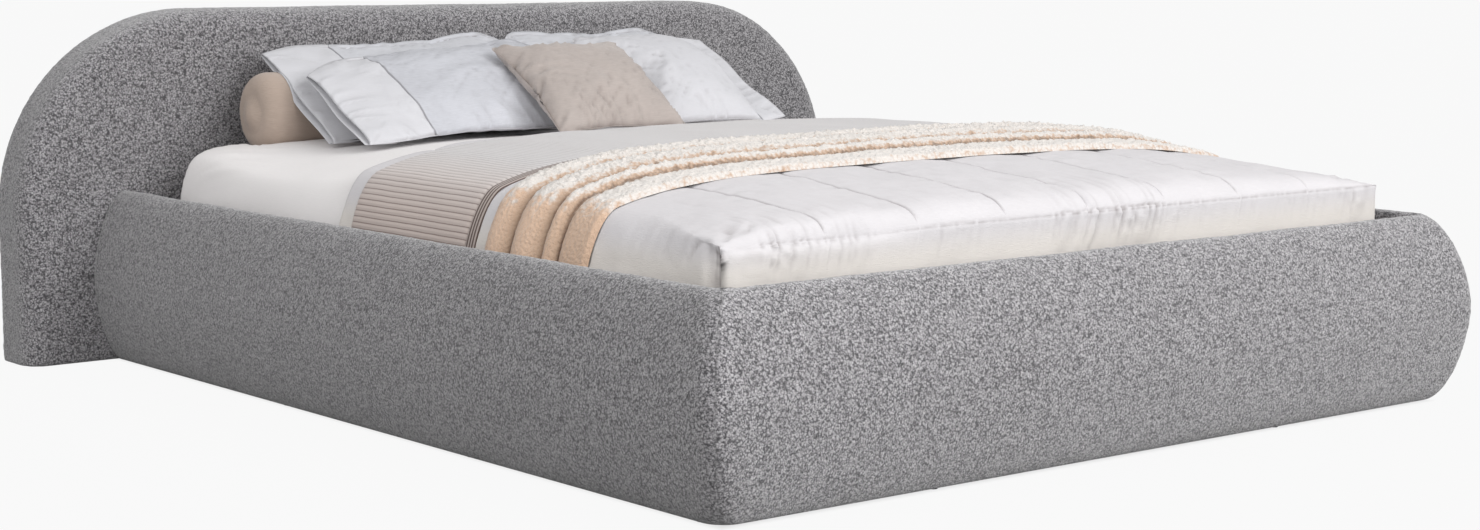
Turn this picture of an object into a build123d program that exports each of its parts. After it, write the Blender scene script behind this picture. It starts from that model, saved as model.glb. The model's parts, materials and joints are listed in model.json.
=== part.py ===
# Upholstered bed with a bolster-section base, a round-cornered headboard, slats, mattress and bedding.
# Millimetres. X runs across the bed, +Y to the head, +Z up; the origin is on the floor, in the middle.
from build123d import *
from math import atan2, cos, hypot, radians, sin, sqrt, tan
import os

# Mattress and the room left round it
mattress_width = 1800
mattress_length = 2000
side_gap = 52
foot_gap = 94
head_gap = 140

# Base: rails of one bulging section
rail_thickness = 97
rail_height = 404
bulge_height = 202
rail_top_inset = 80
rail_bottom_inset = 62
section_power = 1.65
corner_round = 45
cover_thickness = 4
wrap_clearance = 14

# Boards, ledges and brackets inside the base
board_thickness = 18
board_top_cover = 22
ledge_width = 32
ledge_height = 40
bracket_leg = 60
bracket_height = 120
bracket_thickness = 4
bracket_bottom = 50
bracket_screw_share = 0.6
screw_height_shares = (0.25, 0.75)
side_glide_shares = (0.02, 0.34, 0.66, 0.98)

# Slats and centre support
platform_height = 250
slat_count = 13
slat_width = 90
slat_thickness = 20
slat_margin = 5
slat_end_clearance = 6
tape_width = 20
tape_thickness = 1.5
tape_side_share = 0.62
beam_width = 70
beam_height = 60
beam_clearance = 1
hanger_thickness = 3
hanger_depth = 45
hanger_flange = 28
leg_width = 50
leg_spacing = 560

# Headboard
headboard_overhang = 168.5
headboard_height = 825
headboard_thickness = 181
headboard_corner = 472
headboard_edge = 50
front_foam = 40
side_foam = 45
back_foam = 12
front_panel_thickness = 15
back_panel_thickness = 9
rim_thickness = 12
stud_width = 45
stud_spacing = 560

# Fasteners and glides
screw_diameter = 5
screw_length = 20
screw_head_diameter = 10
screw_head_height = 3
bolt_diameter = 8
bolt_head_diameter = 13
bolt_head_height = 5.3
bolt_spread = 700
bolt_heights = (90, 170)
washer_diameter = 22
washer_thickness = 1.6
tee_flange_diameter = 22
tee_flange_thickness = 1.5
tee_barrel_diameter = 10
tee_barrel_length = 10
hole_clearance = 0.3
leg_bolt_length = 70
ledge_screw_spacing = 360
ledge_screw_reach = 12
glide_height = 6
glide_diameter = 16
wide_glide_diameter = 32

# Crown that the mattress and what lies on it share: distances in from the edge
shoulder_run = 95
crown_run = 370

# Mattress and sheet: heights above the slats, and the gaps between layers
mattress_gap = 0.3
side_height = 195
shoulder_height = 247
crown_height = 281
peak_height = 290
sheet_gap = 0.3
sheet_thickness = 1.5
sheet_hem = 25

# Quilt
quilt_side = 11
quilt_foot_drop = 32
quilt_rise = 20
quilt_reach = 50
quilt_tuck = 50
channel_count = 7
channel_pitch = 221
channel_width = 8
channel_depth = 7

# Runner, its border, and the throw
cloth_gap = 0.4
runner_thickness = 4
runner_length = 438
border_width = 36
cloth_tuck = 60
throw_setback = 368
throw_spacing = 42
throw_thickness = 9
ridge_height = 22
ridge_widths = (85, 105, 50, 91)

# Bolster, pillows and cushion: how far their seams lie from the headboard, rises, and crowns
seat_gap = 0.4
bolster_radius = 95
bolster_length = 900
bolster_left = -720
bolster_setback = 170
bolster_end = 30
pillow_width = 690
small_pillow_width = 500
flanged_pillow_width = 420
cushion_width = 380
rear_left_start = -655
front_left_start = -660
rear_right_start = 50
front_right_start = 155
cushion_start = -235
rear_low_setback = 425
rear_high_setback = 45
rear_rise = 222
front_low_setback = 595
front_high_setback = 203
front_rise = 202
cushion_low_setback = 725
cushion_high_setback = 435
cushion_rise = 190
rear_crown = 55
front_crown = 78
cushion_crown = 55
under_crown = 34
seam_draw = 14
side_draw = 14
station_shares = (0, 0.1, 0.5, 0.9, 1)
crown_shares = (0.12, 0.62, 1, 0.62, 0.12)

overrun = 60

# Places that follow from the sizes above
opening_half = mattress_width / 2 + side_gap
opening_length = foot_gap + mattress_length + head_gap
overall_length = rail_thickness + opening_length + headboard_thickness
base_half = opening_half + rail_thickness
headboard_width = 2 * (base_half + headboard_overhang)
foot_face = -overall_length / 2
foot_inner = foot_face + rail_thickness
headboard_back = overall_length / 2
headboard_front = headboard_back - headboard_thickness
mattress_foot = foot_inner + foot_gap
mattress_head = headboard_front - head_gap
mattress_middle = (mattress_foot + mattress_head) / 2
mattress_bottom = platform_height + mattress_gap
mattress_side_top = mattress_bottom + side_height
mattress_shoulder_top = mattress_bottom + shoulder_height
mattress_crown_top = mattress_bottom + crown_height
mattress_peak = mattress_bottom + peak_height
quilt_hem = platform_height + quilt_tuck
cloth_hem = platform_height + cloth_tuck
throw_foot = mattress_foot + throw_setback
throw_head = throw_foot + sum(ridge_widths)
border_foot = throw_head + throw_spacing
runner_foot = border_foot + border_width
runner_head = runner_foot + runner_length
quilt_head = runner_head + quilt_reach
bolster_back = headboard_front - bolster_setback
board_inner = opening_half + cover_thickness
board_outer = board_inner + board_thickness
foot_board_inner = foot_inner - cover_thickness
cross_board_inner = headboard_front - board_thickness
slat_bottom = platform_height - slat_thickness
slat_end = board_inner - slat_end_clearance
beam_bottom = slat_bottom - beam_height

os.makedirs("parts", exist_ok=True)


def save(node, *solids):
    """Write one node: a single solid, or a group of separate solids."""
    shape = solids[0] if len(solids) == 1 else Compound(children=list(solids))
    shape.label = node
    export_step(shape, f"parts/{node}.step")


def block(x_from, x_to, y_from, y_to, z_from, z_to):
    middle = Pos((x_from + x_to) / 2, (y_from + y_to) / 2, (z_from + z_to) / 2)
    return middle * Box(x_to - x_from, y_to - y_from, z_to - z_from)


def rod(start, direction, length, diameter):
    """A round bar from a start point along a direction."""
    return Plane(origin=start, z_dir=direction) * Cylinder(
        diameter / 2, length, align=(Align.CENTER, Align.CENTER, Align.MIN))


def mirrored(shape):
    return mirror(shape, about=Plane.YZ)


def screw(seat, direction, length=screw_length):
    """Pan-head wood screw: the seat is where its head meets the work, the direction points in."""
    back = tuple(-value for value in direction)
    head = rod(seat, back, screw_head_height, screw_head_diameter)
    return rod(seat, direction, length, screw_diameter) + head


def screw_hole(seat, direction, length=screw_length):
    return rod(seat, direction, length, screw_diameter + 2 * hole_clearance)


# Base upholstery: a loft through the rail's section, mitred at the foot corners


def rail_level(angle):
    """Height and inset of the rail's outline at an angle from its widest level."""
    bow = abs(sin(radians(angle))) ** (2 / section_power)
    draw = 1 - cos(radians(angle)) ** (2 / section_power)
    if angle >= 0:
        return bulge_height + (rail_height - bulge_height) * bow, rail_top_inset * draw
    return bulge_height - (bulge_height - glide_height) * bow, rail_bottom_inset * draw


def base_form():
    head_end = headboard_front + overrun
    sections = []
    for angle in (-90, -72, -52, -32, -14, 0, 14, 32, 52, 72, 90):
        height, inset = rail_level(angle)
        foot_end = foot_face + inset
        outline = RectangleRounded(2 * (base_half - inset), head_end - foot_end, corner_round)
        sections.append(Pos(0, (foot_end + head_end) / 2, height) * outline)
    form = loft(sections)
    form -= block(-base_half, base_half, headboard_front, head_end, 0, rail_height)
    form -= block(-opening_half, opening_half, foot_inner, headboard_front, 0, rail_height + overrun)
    wrap_end = platform_height + wrap_clearance
    return form - block(-board_inner, board_inner, foot_board_inner, headboard_front, 0, wrap_end)


def foot_wedge():
    """Everything on the foot side of the two mitres."""
    reach = 2 * rail_thickness
    plan = Polyline((-opening_half, foot_inner), (opening_half, foot_inner),
                    (opening_half + reach, foot_inner - reach), (-opening_half - reach, foot_inner - reach),
                    close=True)
    return extrude(make_face(plan), rail_height + overrun)


board_top = rail_height - board_top_cover
side_board = block(board_inner, board_outer, foot_board_inner, headboard_front, glide_height, board_top)
foot_board = block(-board_outer, board_outer, foot_board_inner - board_thickness, foot_board_inner,
                   glide_height, board_top)
cross_board = block(-board_inner, board_inner, cross_board_inner, headboard_front, glide_height, slat_bottom)
base_upholstery = base_form() - side_board - mirrored(side_board) - foot_board
foot_pad = base_upholstery & foot_wedge()
side_pads = base_upholstery - foot_wedge()
save("foot_rail_upholstery", foot_pad)
save("side_rail_upholstery_right", side_pads & block(0, base_half, foot_face, headboard_front, 0, rail_height))
save("side_rail_upholstery_left", side_pads & block(-base_half, 0, foot_face, headboard_front, 0, rail_height))

# Corner brackets and their screws


def corner_bracket(y_face, away):
    """Angle bracket in the right-hand corner at a cross face; away points along the side board."""
    side_leg = block(board_inner - bracket_thickness, board_inner,
                     *sorted((y_face, y_face + away * bracket_leg)),
                     bracket_bottom, bracket_bottom + bracket_height)
    cross_leg = block(board_inner - bracket_leg, board_inner,
                      *sorted((y_face, y_face + away * bracket_thickness)),
                      bracket_bottom, bracket_bottom + bracket_height)
    return side_leg + cross_leg


def bracket_seats(y_face, away):
    """Seats and directions of the four screws of a right-hand corner bracket."""
    along = bracket_leg * bracket_screw_share
    seats = []
    for share in screw_height_shares:
        height = bracket_bottom + bracket_height * share
        seats.append(((board_inner - bracket_thickness, y_face + away * along, height), (1, 0, 0)))
        seats.append(((board_inner - along, y_face + away * bracket_thickness, height), (0, -away, 0)))
    return seats


corner_seats = bracket_seats(foot_board_inner, 1) + bracket_seats(cross_board_inner, -1)
corner_seats += [((-x, y, z), (-dx, dy, dz)) for (x, y, z), (dx, dy, dz) in corner_seats]
corner_holes = [screw_hole(seat, direction) for seat, direction in corner_seats]
for name, y_face, away in (("foot", foot_board_inner, 1), ("head", cross_board_inner, -1)):
    bracket = corner_bracket(y_face, away)
    save(f"corner_bracket_{name}_right", bracket - corner_holes)
    save(f"corner_bracket_{name}_left", mirrored(bracket) - corner_holes)
save("corner_bracket_screws", *[screw(seat, direction) for seat, direction in corner_seats])

# Ledges that carry the slats' ends, and their screws

ledge = block(board_inner - ledge_width, board_inner, foot_board_inner, cross_board_inner,
              slat_bottom - ledge_height, slat_bottom)
ledge_screw_length = ledge_width + ledge_screw_reach
ledge_seats = []
for step in (-2.5, -1.5, -0.5, 0.5, 1.5, 2.5):
    seat_y = (foot_board_inner + cross_board_inner) / 2 + step * ledge_screw_spacing
    ledge_seats.append((board_inner - ledge_width, seat_y, slat_bottom - ledge_height / 2))
right_ledge_holes = [screw_hole(seat, (1, 0, 0), ledge_screw_length) for seat in ledge_seats]
save("slat_ledge_right", ledge - right_ledge_holes)
save("slat_ledge_left", mirrored(ledge - right_ledge_holes))
right_ledge_screws = [screw(seat, (1, 0, 0), ledge_screw_length) for seat in ledge_seats]
save("ledge_screws", *right_ledge_screws, *[mirrored(item) for item in right_ledge_screws])

# Centre beam, its hangers, legs and bolts


def beam_hanger(y_face, away):
    """Hanger with two flanges on a board and a floor and cheeks round the beam's end."""
    half = beam_width / 2 + beam_clearance
    outer = half + hanger_thickness
    floor_top = beam_bottom
    y_out = y_face + away * hanger_depth
    shell = block(-outer, outer, *sorted((y_face, y_out)), floor_top - hanger_thickness, slat_bottom)
    shell -= block(-half, half, *sorted((y_face, y_out)), floor_top, slat_bottom)
    flange_depth = sorted((y_face, y_face + away * hanger_thickness))
    flange = block(-outer - hanger_flange, outer + hanger_flange, *flange_depth,
                   floor_top - hanger_thickness, slat_bottom)
    flange -= block(-half, half, *flange_depth, floor_top, slat_bottom)
    return shell + flange


def hanger_seats(y_face, away):
    middle = beam_width / 2 + beam_clearance + hanger_thickness + hanger_flange / 2
    seat_y = y_face + away * hanger_thickness
    return [((side * middle, seat_y, beam_bottom + beam_height * share), (0, -away, 0))
            for side in (-1, 1) for share in screw_height_shares]


hanger_screw_seats = hanger_seats(foot_board_inner, 1) + hanger_seats(cross_board_inner, -1)
hanger_holes = [screw_hole(seat, direction) for seat, direction in hanger_screw_seats]
save("beam_hanger_foot", beam_hanger(foot_board_inner, 1) - hanger_holes)
save("beam_hanger_head", beam_hanger(cross_board_inner, -1) - hanger_holes)
save("hanger_screws", *[screw(seat, direction) for seat, direction in hanger_screw_seats])

leg_places = [step * leg_spacing for step in (-1, 0, 1)]
leg_bolts = [rod((0, y, beam_bottom - leg_bolt_length / 2), (0, 0, 1), leg_bolt_length, bolt_diameter)
             for y in leg_places]
leg_bolt_holes = [rod((0, y, beam_bottom - leg_bolt_length / 2), (0, 0, 1), leg_bolt_length,
                      bolt_diameter + 2 * hole_clearance) for y in leg_places]
beam = block(-beam_width / 2, beam_width / 2, foot_board_inner + beam_clearance,
             cross_board_inner - beam_clearance, beam_bottom, slat_bottom)
save("centre_beam", beam - leg_bolt_holes)
for number, y in enumerate(leg_places, start=1):
    leg = block(-leg_width / 2, leg_width / 2, y - leg_width / 2, y + leg_width / 2, glide_height, beam_bottom)
    save(f"centre_leg_{number}", leg - leg_bolt_holes)
save("leg_bolts", *leg_bolts)

# Slats, and the two tapes that keep their spacing

slat_pitch = (mattress_length - 2 * slat_margin - slat_width) / (slat_count - 1)
first_slat = mattress_foot + slat_margin
tape_x = slat_end * tape_side_share
for number in range(slat_count):
    slat_foot = first_slat + number * slat_pitch
    slat = block(-slat_end, slat_end, slat_foot, slat_foot + slat_width, slat_bottom, platform_height)
    save(f"slat_{number + 1:02d}", slat)
tape = block(tape_x, tape_x + tape_width, first_slat, first_slat + (slat_count - 1) * slat_pitch + slat_width,
             slat_bottom - tape_thickness, slat_bottom)
save("slat_tapes", tape, mirrored(tape))

# Headboard: a slab with a round-cornered top, padded all round its timber frame


def arch(half_width, height, corner, y_front, y_back, edge=0):
    """Slab with two round upper corners, its edges rounded on both faces where asked."""
    depth = y_back - y_front
    slab = extrude(RectangleRounded(2 * half_width, 2 * height, corner), depth)
    if edge:
        ends = slab.faces().sort_by(Axis.Z)
        slab = fillet(ends[0].edges() + ends[-1].edges(), edge)
    slab = Pos(0, y_back, 0) * Rot(90, 0, 0) * slab
    return slab - block(-half_width, half_width, y_front, y_back, -height, glide_height)


frame_half = headboard_width / 2 - side_foam
frame_height = headboard_height - side_foam
frame_corner = headboard_corner - side_foam
frame_front = headboard_front + front_foam
frame_back = headboard_back - back_foam
hollow_front = frame_front + front_panel_thickness
hollow_back = frame_back - back_panel_thickness

bolt_seats = [(side * bolt_spread, cross_board_inner - washer_thickness, height)
              for side in (-1, 1) for height in bolt_heights]
bolt_length = hollow_front + tee_flange_thickness - cross_board_inner + washer_thickness
bolt_holes = [rod(seat, (0, 1, 0), bolt_length, bolt_diameter + 2 * hole_clearance) for seat in bolt_seats]
barrel_places = [(x, hollow_front, z) for x, y, z in bolt_seats]
barrel_holes = [rod(place, (0, -1, 0), tee_barrel_length, tee_barrel_diameter + 2 * hole_clearance)
                for place in barrel_places]

slab_form = arch(headboard_width / 2, headboard_height, headboard_corner, headboard_front, headboard_back,
                 headboard_edge)
pocket = arch(frame_half, frame_height, frame_corner, frame_front, frame_back)
save("headboard_upholstery", slab_form - pocket - bolt_holes)
front_panel = arch(frame_half, frame_height, frame_corner, frame_front, hollow_front)
save("headboard_front_panel", front_panel - bolt_holes - barrel_holes)
save("headboard_back_panel", arch(frame_half, frame_height, frame_corner, hollow_back, frame_back))
hollow_half = frame_half - rim_thickness
hollow_height = frame_height - rim_thickness
hollow_corner = frame_corner - rim_thickness
hollow = arch(hollow_half, hollow_height, hollow_corner, hollow_front, hollow_back)
hollow -= block(-hollow_half, hollow_half, hollow_front, hollow_back, 0, glide_height + rim_thickness)
save("headboard_rim", arch(frame_half, frame_height, frame_corner, hollow_front, hollow_back) - hollow)
studs = []
for step in (-1.5, -0.5, 0.5, 1.5):
    stud = block(step * stud_spacing - stud_width / 2, step * stud_spacing + stud_width / 2,
                 hollow_front, hollow_back, glide_height, headboard_height)
    studs.append(stud & hollow)
save("headboard_studs", *studs)

save("headboard_bolts", *[
    rod(seat, (0, 1, 0), bolt_length, bolt_diameter)
    + rod(seat, (0, -1, 0), bolt_head_height, bolt_head_diameter)
    for seat in bolt_seats])
save("headboard_washers", *[
    rod(seat, (0, 1, 0), washer_thickness, washer_diameter) - hole
    for seat, hole in zip(bolt_seats, bolt_holes)])
save("tee_nuts", *[
    rod(place, (0, 1, 0), tee_flange_thickness, tee_flange_diameter)
    + rod(place, (0, -1, 0), tee_barrel_length, tee_barrel_diameter) - hole
    for place, hole in zip(barrel_places, bolt_holes)])

# The boards, now that every hole in them is known

save("side_rail_board_right", side_board - corner_holes - right_ledge_holes)
save("side_rail_board_left", mirrored(side_board - corner_holes - right_ledge_holes))
save("foot_rail_board", foot_board - corner_holes - hanger_holes)
save("head_cross_board", cross_board - corner_holes - hanger_holes - bolt_holes)

# Glides that everything stands on


def glide(x, y, diameter=glide_diameter):
    return rod((x, y, 0), (0, 0, 1), glide_height, diameter)


side_middle = (board_inner + board_outer) / 2
side_span = headboard_front - foot_board_inner
side_glides = [glide(side * side_middle, foot_board_inner + side_span * share)
               for side in (-1, 1) for share in side_glide_shares]
foot_glides = [glide(side * opening_half / 2, foot_board_inner - board_thickness / 2) for side in (-1, 1)]
cross_glides = [glide(side * opening_half / 2, headboard_front - board_thickness / 2) for side in (-1, 1)]
save("rail_glides", *side_glides, *foot_glides, *cross_glides)
save("headboard_glides", *[glide(step * stud_spacing, (hollow_front + hollow_back) / 2, wide_glide_diameter)
                           for step in (-1.5, -0.5, 0.5, 1.5)])
save("leg_glides", *[glide(0, y, wide_glide_diameter) for y in leg_places])

# Mattress, sheet and quilt share one crown: steep at the edge, then easing to the middle

crown_levels = (mattress_side_top, mattress_shoulder_top, mattress_crown_top, mattress_peak)
crown_tilt = atan2(mattress_crown_top - mattress_shoulder_top, crown_run - shoulder_run)


def crown_outline(half, bottom, levels, rise):
    """Upright outline of a crowned block, across its local X and up its local Y."""
    side_top, shoulder_top, crown_top, peak = (level + rise for level in levels)
    lines = [Line((-half, bottom), (half, bottom))]
    for side in (-1, 1):
        edge, shoulder = side * half, (side * (half - shoulder_run), shoulder_top)
        crown = (side * (half - crown_run), crown_top)
        outward = (side * cos(crown_tilt), -sin(crown_tilt))
        lines += [Line((edge, bottom), (edge, side_top)),
                  TangentArc(shoulder, (edge, side_top), tangent=outward),
                  Line(shoulder, crown), Line(crown, (0, peak))]
    return make_face(lines)


def crowned_block(side_offset, end_offset, bottom, rise):
    """Crowned block over the mattress, larger than it by the offsets."""
    half, half_length = mattress_width / 2 + side_offset, mattress_length / 2 + end_offset
    across = extrude(Plane.XZ.offset(half_length) * crown_outline(half, bottom, crown_levels, rise),
                     -2 * half_length)
    along = extrude(Plane.YZ.offset(-half) * crown_outline(half_length, bottom, crown_levels, rise), 2 * half)
    return Pos(0, mattress_middle, 0) * (across & along)


save("mattress", crowned_block(0, 0, mattress_bottom, 0))
sheet_outer = sheet_gap + sheet_thickness
sheet = crowned_block(sheet_outer, sheet_outer, mattress_bottom + sheet_hem, sheet_outer)
save("fitted_sheet", sheet - crowned_block(sheet_gap, sheet_gap, mattress_bottom, sheet_gap))

under_quilt = sheet_outer + cloth_gap
quilt = crowned_block(quilt_side, quilt_foot_drop, quilt_hem, quilt_rise)
quilt -= crowned_block(under_quilt, under_quilt, mattress_bottom, under_quilt)
quilt -= block(-base_half, base_half, quilt_head, headboard_back, 0, headboard_height)
channel_floor = crowned_block(quilt_side + overrun, quilt_foot_drop + overrun, mattress_bottom,
                              quilt_rise - channel_depth)
for number in range(channel_count):
    middle = (number - (channel_count - 1) / 2) * channel_pitch
    cut = block(middle - channel_width / 2, middle + channel_width / 2, mattress_foot - quilt_foot_drop,
                quilt_head, mattress_shoulder_top, headboard_height)
    quilt -= cut - channel_floor
save("quilt", quilt)

# Runner, border and throw: bands across the bed that follow the quilt's outline


def band_outline(offset, bottom):
    return crown_outline(mattress_width / 2 + quilt_side + offset, bottom, crown_levels, quilt_rise + offset)


def at_station(outline, y):
    return Plane.XZ.offset(-y) * outline


def band(y_from, y_to, thickness):
    outer = band_outline(cloth_gap + thickness, cloth_hem) - band_outline(cloth_gap, cloth_hem - overrun)
    return extrude(at_station(outer, y_from), -(y_to - y_from))


save("runner", band(runner_foot, runner_head, runner_thickness))
save("runner_border", band(border_foot, runner_foot, runner_thickness))

ridges = []
edge_y = throw_head
for width in ridge_widths:
    crest = throw_thickness + ridge_height * width / max(ridge_widths)
    stations = ((edge_y, throw_thickness), (edge_y - width / 2, crest), (edge_y - width, throw_thickness))
    ridges.append(loft([at_station(band_outline(cloth_gap + rise, cloth_hem), y) for y, rise in stations]))
    edge_y -= width
throw = ridges[0] + ridges[1:]
throw -= extrude(at_station(band_outline(cloth_gap, cloth_hem - overrun), throw_foot - overrun),
                 -(throw_head - throw_foot + 2 * overrun))
save("throw_blanket", throw)

# Bolster, pillows and cushion


def bed_top(y):
    """Height of the sheet's top at a place along the bed, from where its slopes begin."""
    distance = mattress_head + sheet_outer - y
    if distance < crown_run:
        return sheet_outer + mattress_shoulder_top + (distance - shoulder_run) * tan(crown_tilt)
    ease = (mattress_peak - mattress_crown_top) / (mattress_length / 2 - crown_run)
    return sheet_outer + mattress_crown_top + (distance - crown_run) * ease


# The bolster rests on the round of the sheet's head end
shoulder_rise = mattress_shoulder_top - mattress_side_top
shoulder_radius = (shoulder_run ** 2 + shoulder_rise ** 2) / 2 / (
    shoulder_rise * cos(crown_tilt) - shoulder_run * sin(crown_tilt))
shoulder_y = mattress_head + sheet_outer - shoulder_run - shoulder_radius * sin(crown_tilt)
shoulder_z = mattress_shoulder_top + sheet_outer - shoulder_radius * cos(crown_tilt)
bolster_reach = shoulder_radius + bolster_radius + seat_gap
bolster_height = shoulder_z + sqrt(bolster_reach ** 2 - (bolster_back - shoulder_y) ** 2)


def bolster_bar(radius, length, start):
    return rod((start, bolster_back, bolster_height), (1, 0, 0), length, 2 * radius)


bolster = bolster_bar(bolster_radius, bolster_length, bolster_left)
save("bolster", fillet(bolster.edges(), bolster_end))


def lens(low, high, over, under):
    """Section of a pillow between its two seams, with a crown above and one below."""
    chord = (high[0] - low[0], high[1] - low[1])
    length = hypot(*chord)
    normal = (-chord[1] / length, chord[0] / length)
    middle = ((low[0] + high[0]) / 2, (low[1] + high[1]) / 2)
    top = (middle[0] + normal[0] * over, middle[1] + normal[1] * over)
    bottom = (middle[0] - normal[0] * under, middle[1] - normal[1] * under)
    return make_face([ThreePointArc(low, top, high), ThreePointArc(high, bottom, low)])


def pillow_form(start, width, low, high, crown):
    """Pillow leaning back: lens sections across its width, drawn in at the seams and at both sides."""
    length = hypot(high[0] - low[0], high[1] - low[1])
    unit = ((high[0] - low[0]) / length, (high[1] - low[1]) / length)
    sections = []
    for station, share in zip(station_shares, crown_shares):
        draw = seam_draw * (share - min(crown_shares))
        near = (low[0] + unit[0] * draw, low[1] + unit[1] * draw)
        far = (high[0] - unit[0] * draw, high[1] - unit[1] * draw)
        section = lens(near, far, crown * share, under_crown * share)
        sections.append(Plane.YZ.offset(start + station * width) * section)
    form = loft(sections)
    sweep_radius = (length ** 2 / 4 + side_draw ** 2) / (2 * side_draw)
    middle_y, middle_z = (low[0] + high[0]) / 2, (low[1] + high[1]) / 2
    for edge in (start + side_draw - sweep_radius, start + width - side_draw + sweep_radius):
        foot = (edge, middle_y + unit[1] * length, middle_z - unit[0] * length)
        form -= rod(foot, (0, -unit[1], unit[0]), 2 * length, 2 * sweep_radius)
    return form


def under_space(low, high, crown):
    """All that lies below a leaning pillow's upper face, with the gap that what rests on it keeps."""
    length = hypot(high[0] - low[0], high[1] - low[1])
    normal = (-(high[1] - low[1]) / length, (high[0] - low[0]) / length)
    lift = (normal[0] * seat_gap, normal[1] * seat_gap)
    near, far = (low[0] + lift[0], low[1] + lift[1]), (high[0] + lift[0], high[1] + lift[1])
    top = ((near[0] + far[0]) / 2 + normal[0] * crown, (near[1] + far[1]) / 2 + normal[1] * crown)
    outline = make_face([ThreePointArc(near, top, far), Line(far, (far[0], 0)),
                         Line((far[0], 0), (near[0], 0)), Line((near[0], 0), near)])
    return extrude(Plane.YZ.offset(-base_half) * outline, 2 * base_half)


def seams(low_setback, high_setback, rise, crown):
    """Low and high seam of a pillow that stands on the bed, and its crown."""
    low_y = headboard_front - low_setback
    floor = bed_top(low_y) + seat_gap
    return (low_y, floor), (headboard_front - high_setback, floor + rise), crown


rear = seams(rear_low_setback, rear_high_setback, rear_rise, rear_crown)
front = seams(front_low_setback, front_high_setback, front_rise, front_crown)
small = seams(cushion_low_setback, cushion_high_setback, cushion_rise, cushion_crown)
bolster_space = bolster_bar(bolster_radius + seat_gap, bolster_length + 2 * seat_gap, bolster_left - seat_gap)
rear_space, front_space = under_space(*rear), under_space(*front)
save("pillow_rear_left", pillow_form(rear_left_start, pillow_width, *rear) - bolster_space)
save("pillow_rear_right", pillow_form(rear_right_start, small_pillow_width, *rear) - bolster_space)
save("pillow_front_left", pillow_form(front_left_start, pillow_width, *front) - rear_space)
save("pillow_front_right", pillow_form(front_right_start, flanged_pillow_width, *front) - rear_space)
save("accent_cushion", pillow_form(cushion_start, cushion_width, *small) - front_space)
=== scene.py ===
import json
import math
import bpy
import bmesh
import numpy as np
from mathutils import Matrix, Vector
from mathutils.bvhtree import BVHTree


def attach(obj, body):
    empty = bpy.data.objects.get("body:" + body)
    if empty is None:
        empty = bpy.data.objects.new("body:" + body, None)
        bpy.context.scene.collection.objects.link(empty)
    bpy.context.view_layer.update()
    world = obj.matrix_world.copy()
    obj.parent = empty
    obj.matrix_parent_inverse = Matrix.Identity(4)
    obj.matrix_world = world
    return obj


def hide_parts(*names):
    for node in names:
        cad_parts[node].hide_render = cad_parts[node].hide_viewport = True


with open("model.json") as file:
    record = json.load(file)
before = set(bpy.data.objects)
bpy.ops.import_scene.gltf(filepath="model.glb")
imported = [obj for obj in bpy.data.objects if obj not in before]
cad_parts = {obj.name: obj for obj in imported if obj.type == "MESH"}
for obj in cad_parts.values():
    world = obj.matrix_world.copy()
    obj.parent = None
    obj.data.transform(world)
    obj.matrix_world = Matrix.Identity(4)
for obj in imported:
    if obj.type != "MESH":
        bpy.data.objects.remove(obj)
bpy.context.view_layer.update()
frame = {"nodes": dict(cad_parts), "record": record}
nodes = frame["nodes"]
print("bed: frame loaded,", len(nodes), "nodes")


def newObject(name, data):
    made = bpy.data.objects.new(name, data)
    bpy.context.scene.collection.objects.link(made)
    return made


# camera as the photograph was taken: low, from the foot's left corner
cameraSetup = {"place": (-3.5789, -4.4544, 0.9661), "down": 7.08, "turn": 38.96, "lens": 61.78,
               "sensor": 36, "far": 200}
cameraData = bpy.data.cameras.new("bedCamera")
cameraData.sensor_width = cameraSetup["sensor"]
cameraData.lens = cameraSetup["lens"]
cameraData.clip_end = cameraSetup["far"]
camera = newObject("bedCamera", cameraData)
camera.location = cameraSetup["place"]
camera.rotation_euler = (math.radians(90 - cameraSetup["down"]), 0, -math.radians(cameraSetup["turn"]))
bpy.context.scene.camera = camera
bpy.context.scene.view_settings.view_transform = "Standard"


# small tools for materials

def newMaterial(name, rough, colour, sheen=0.0, metal=0.0):
    # a material, its nodes, and where on the piece each point lies
    mat = bpy.data.materials.new(name)
    mat.use_nodes = True
    tree = mat.node_tree
    settings = {"Roughness": rough, "Base Color": (*colour, 1), "Metallic": metal, "Sheen Weight": sheen,
                "Sheen Roughness": 0.5, "Specular IOR Level": 0.5 if metal else 0.25}
    for key, value in settings.items():
        tree.nodes["Principled BSDF"].inputs[key].default_value = value
    return mat, tree, addNode(tree, "TexCoord").outputs["Object"]


def addNode(tree, kind, inputs=None, **settings):
    node = tree.nodes.new("ShaderNode" + kind)
    for key, value in settings.items():
        setattr(node, key, value)
    for key, value in (inputs or {}).items():
        if isinstance(value, bpy.types.NodeSocket):
            tree.links.new(value, node.inputs[key])
        else:
            node.inputs[key].default_value = value
    return node


def mathNode(tree, operation, first, second=0.0, third=0.0):
    return addNode(tree, "Math", {0: first, 1: second, 2: third}, operation=operation).outputs[0]


def vectorNode(tree, operation, inputs):
    return addNode(tree, "VectorMath", inputs, operation=operation).outputs[0]


def mixNode(tree, share, first, second):
    sockets = {"Factor": share, "A": first, "B": second}
    return addNode(tree, "Mix", sockets, data_type="RGBA").outputs["Result"]


def noiseNode(tree, where, scale, detail=2, distortion=0.0):
    sockets = {"Vector": where, "Scale": scale, "Detail": detail, "Distortion": distortion}
    return addNode(tree, "TexNoise", sockets).outputs["Fac"]


def stretched(tree, coords, scale, turn=(0, 0, 0)):
    return addNode(tree, "Mapping", {"Vector": coords, "Rotation": turn, "Scale": scale}).outputs[0]


def rangeNode(tree, value, low, high, first=0.0, last=1.0, ease="LINEAR"):
    sockets = {"Value": value, "From Min": low, "From Max": high, "To Min": first, "To Max": last}
    return addNode(tree, "MapRange", sockets, interpolation_type=ease).outputs[0]


def splitNode(tree, vector):
    return addNode(tree, "SeparateXYZ", {"Vector": vector}).outputs


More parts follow.
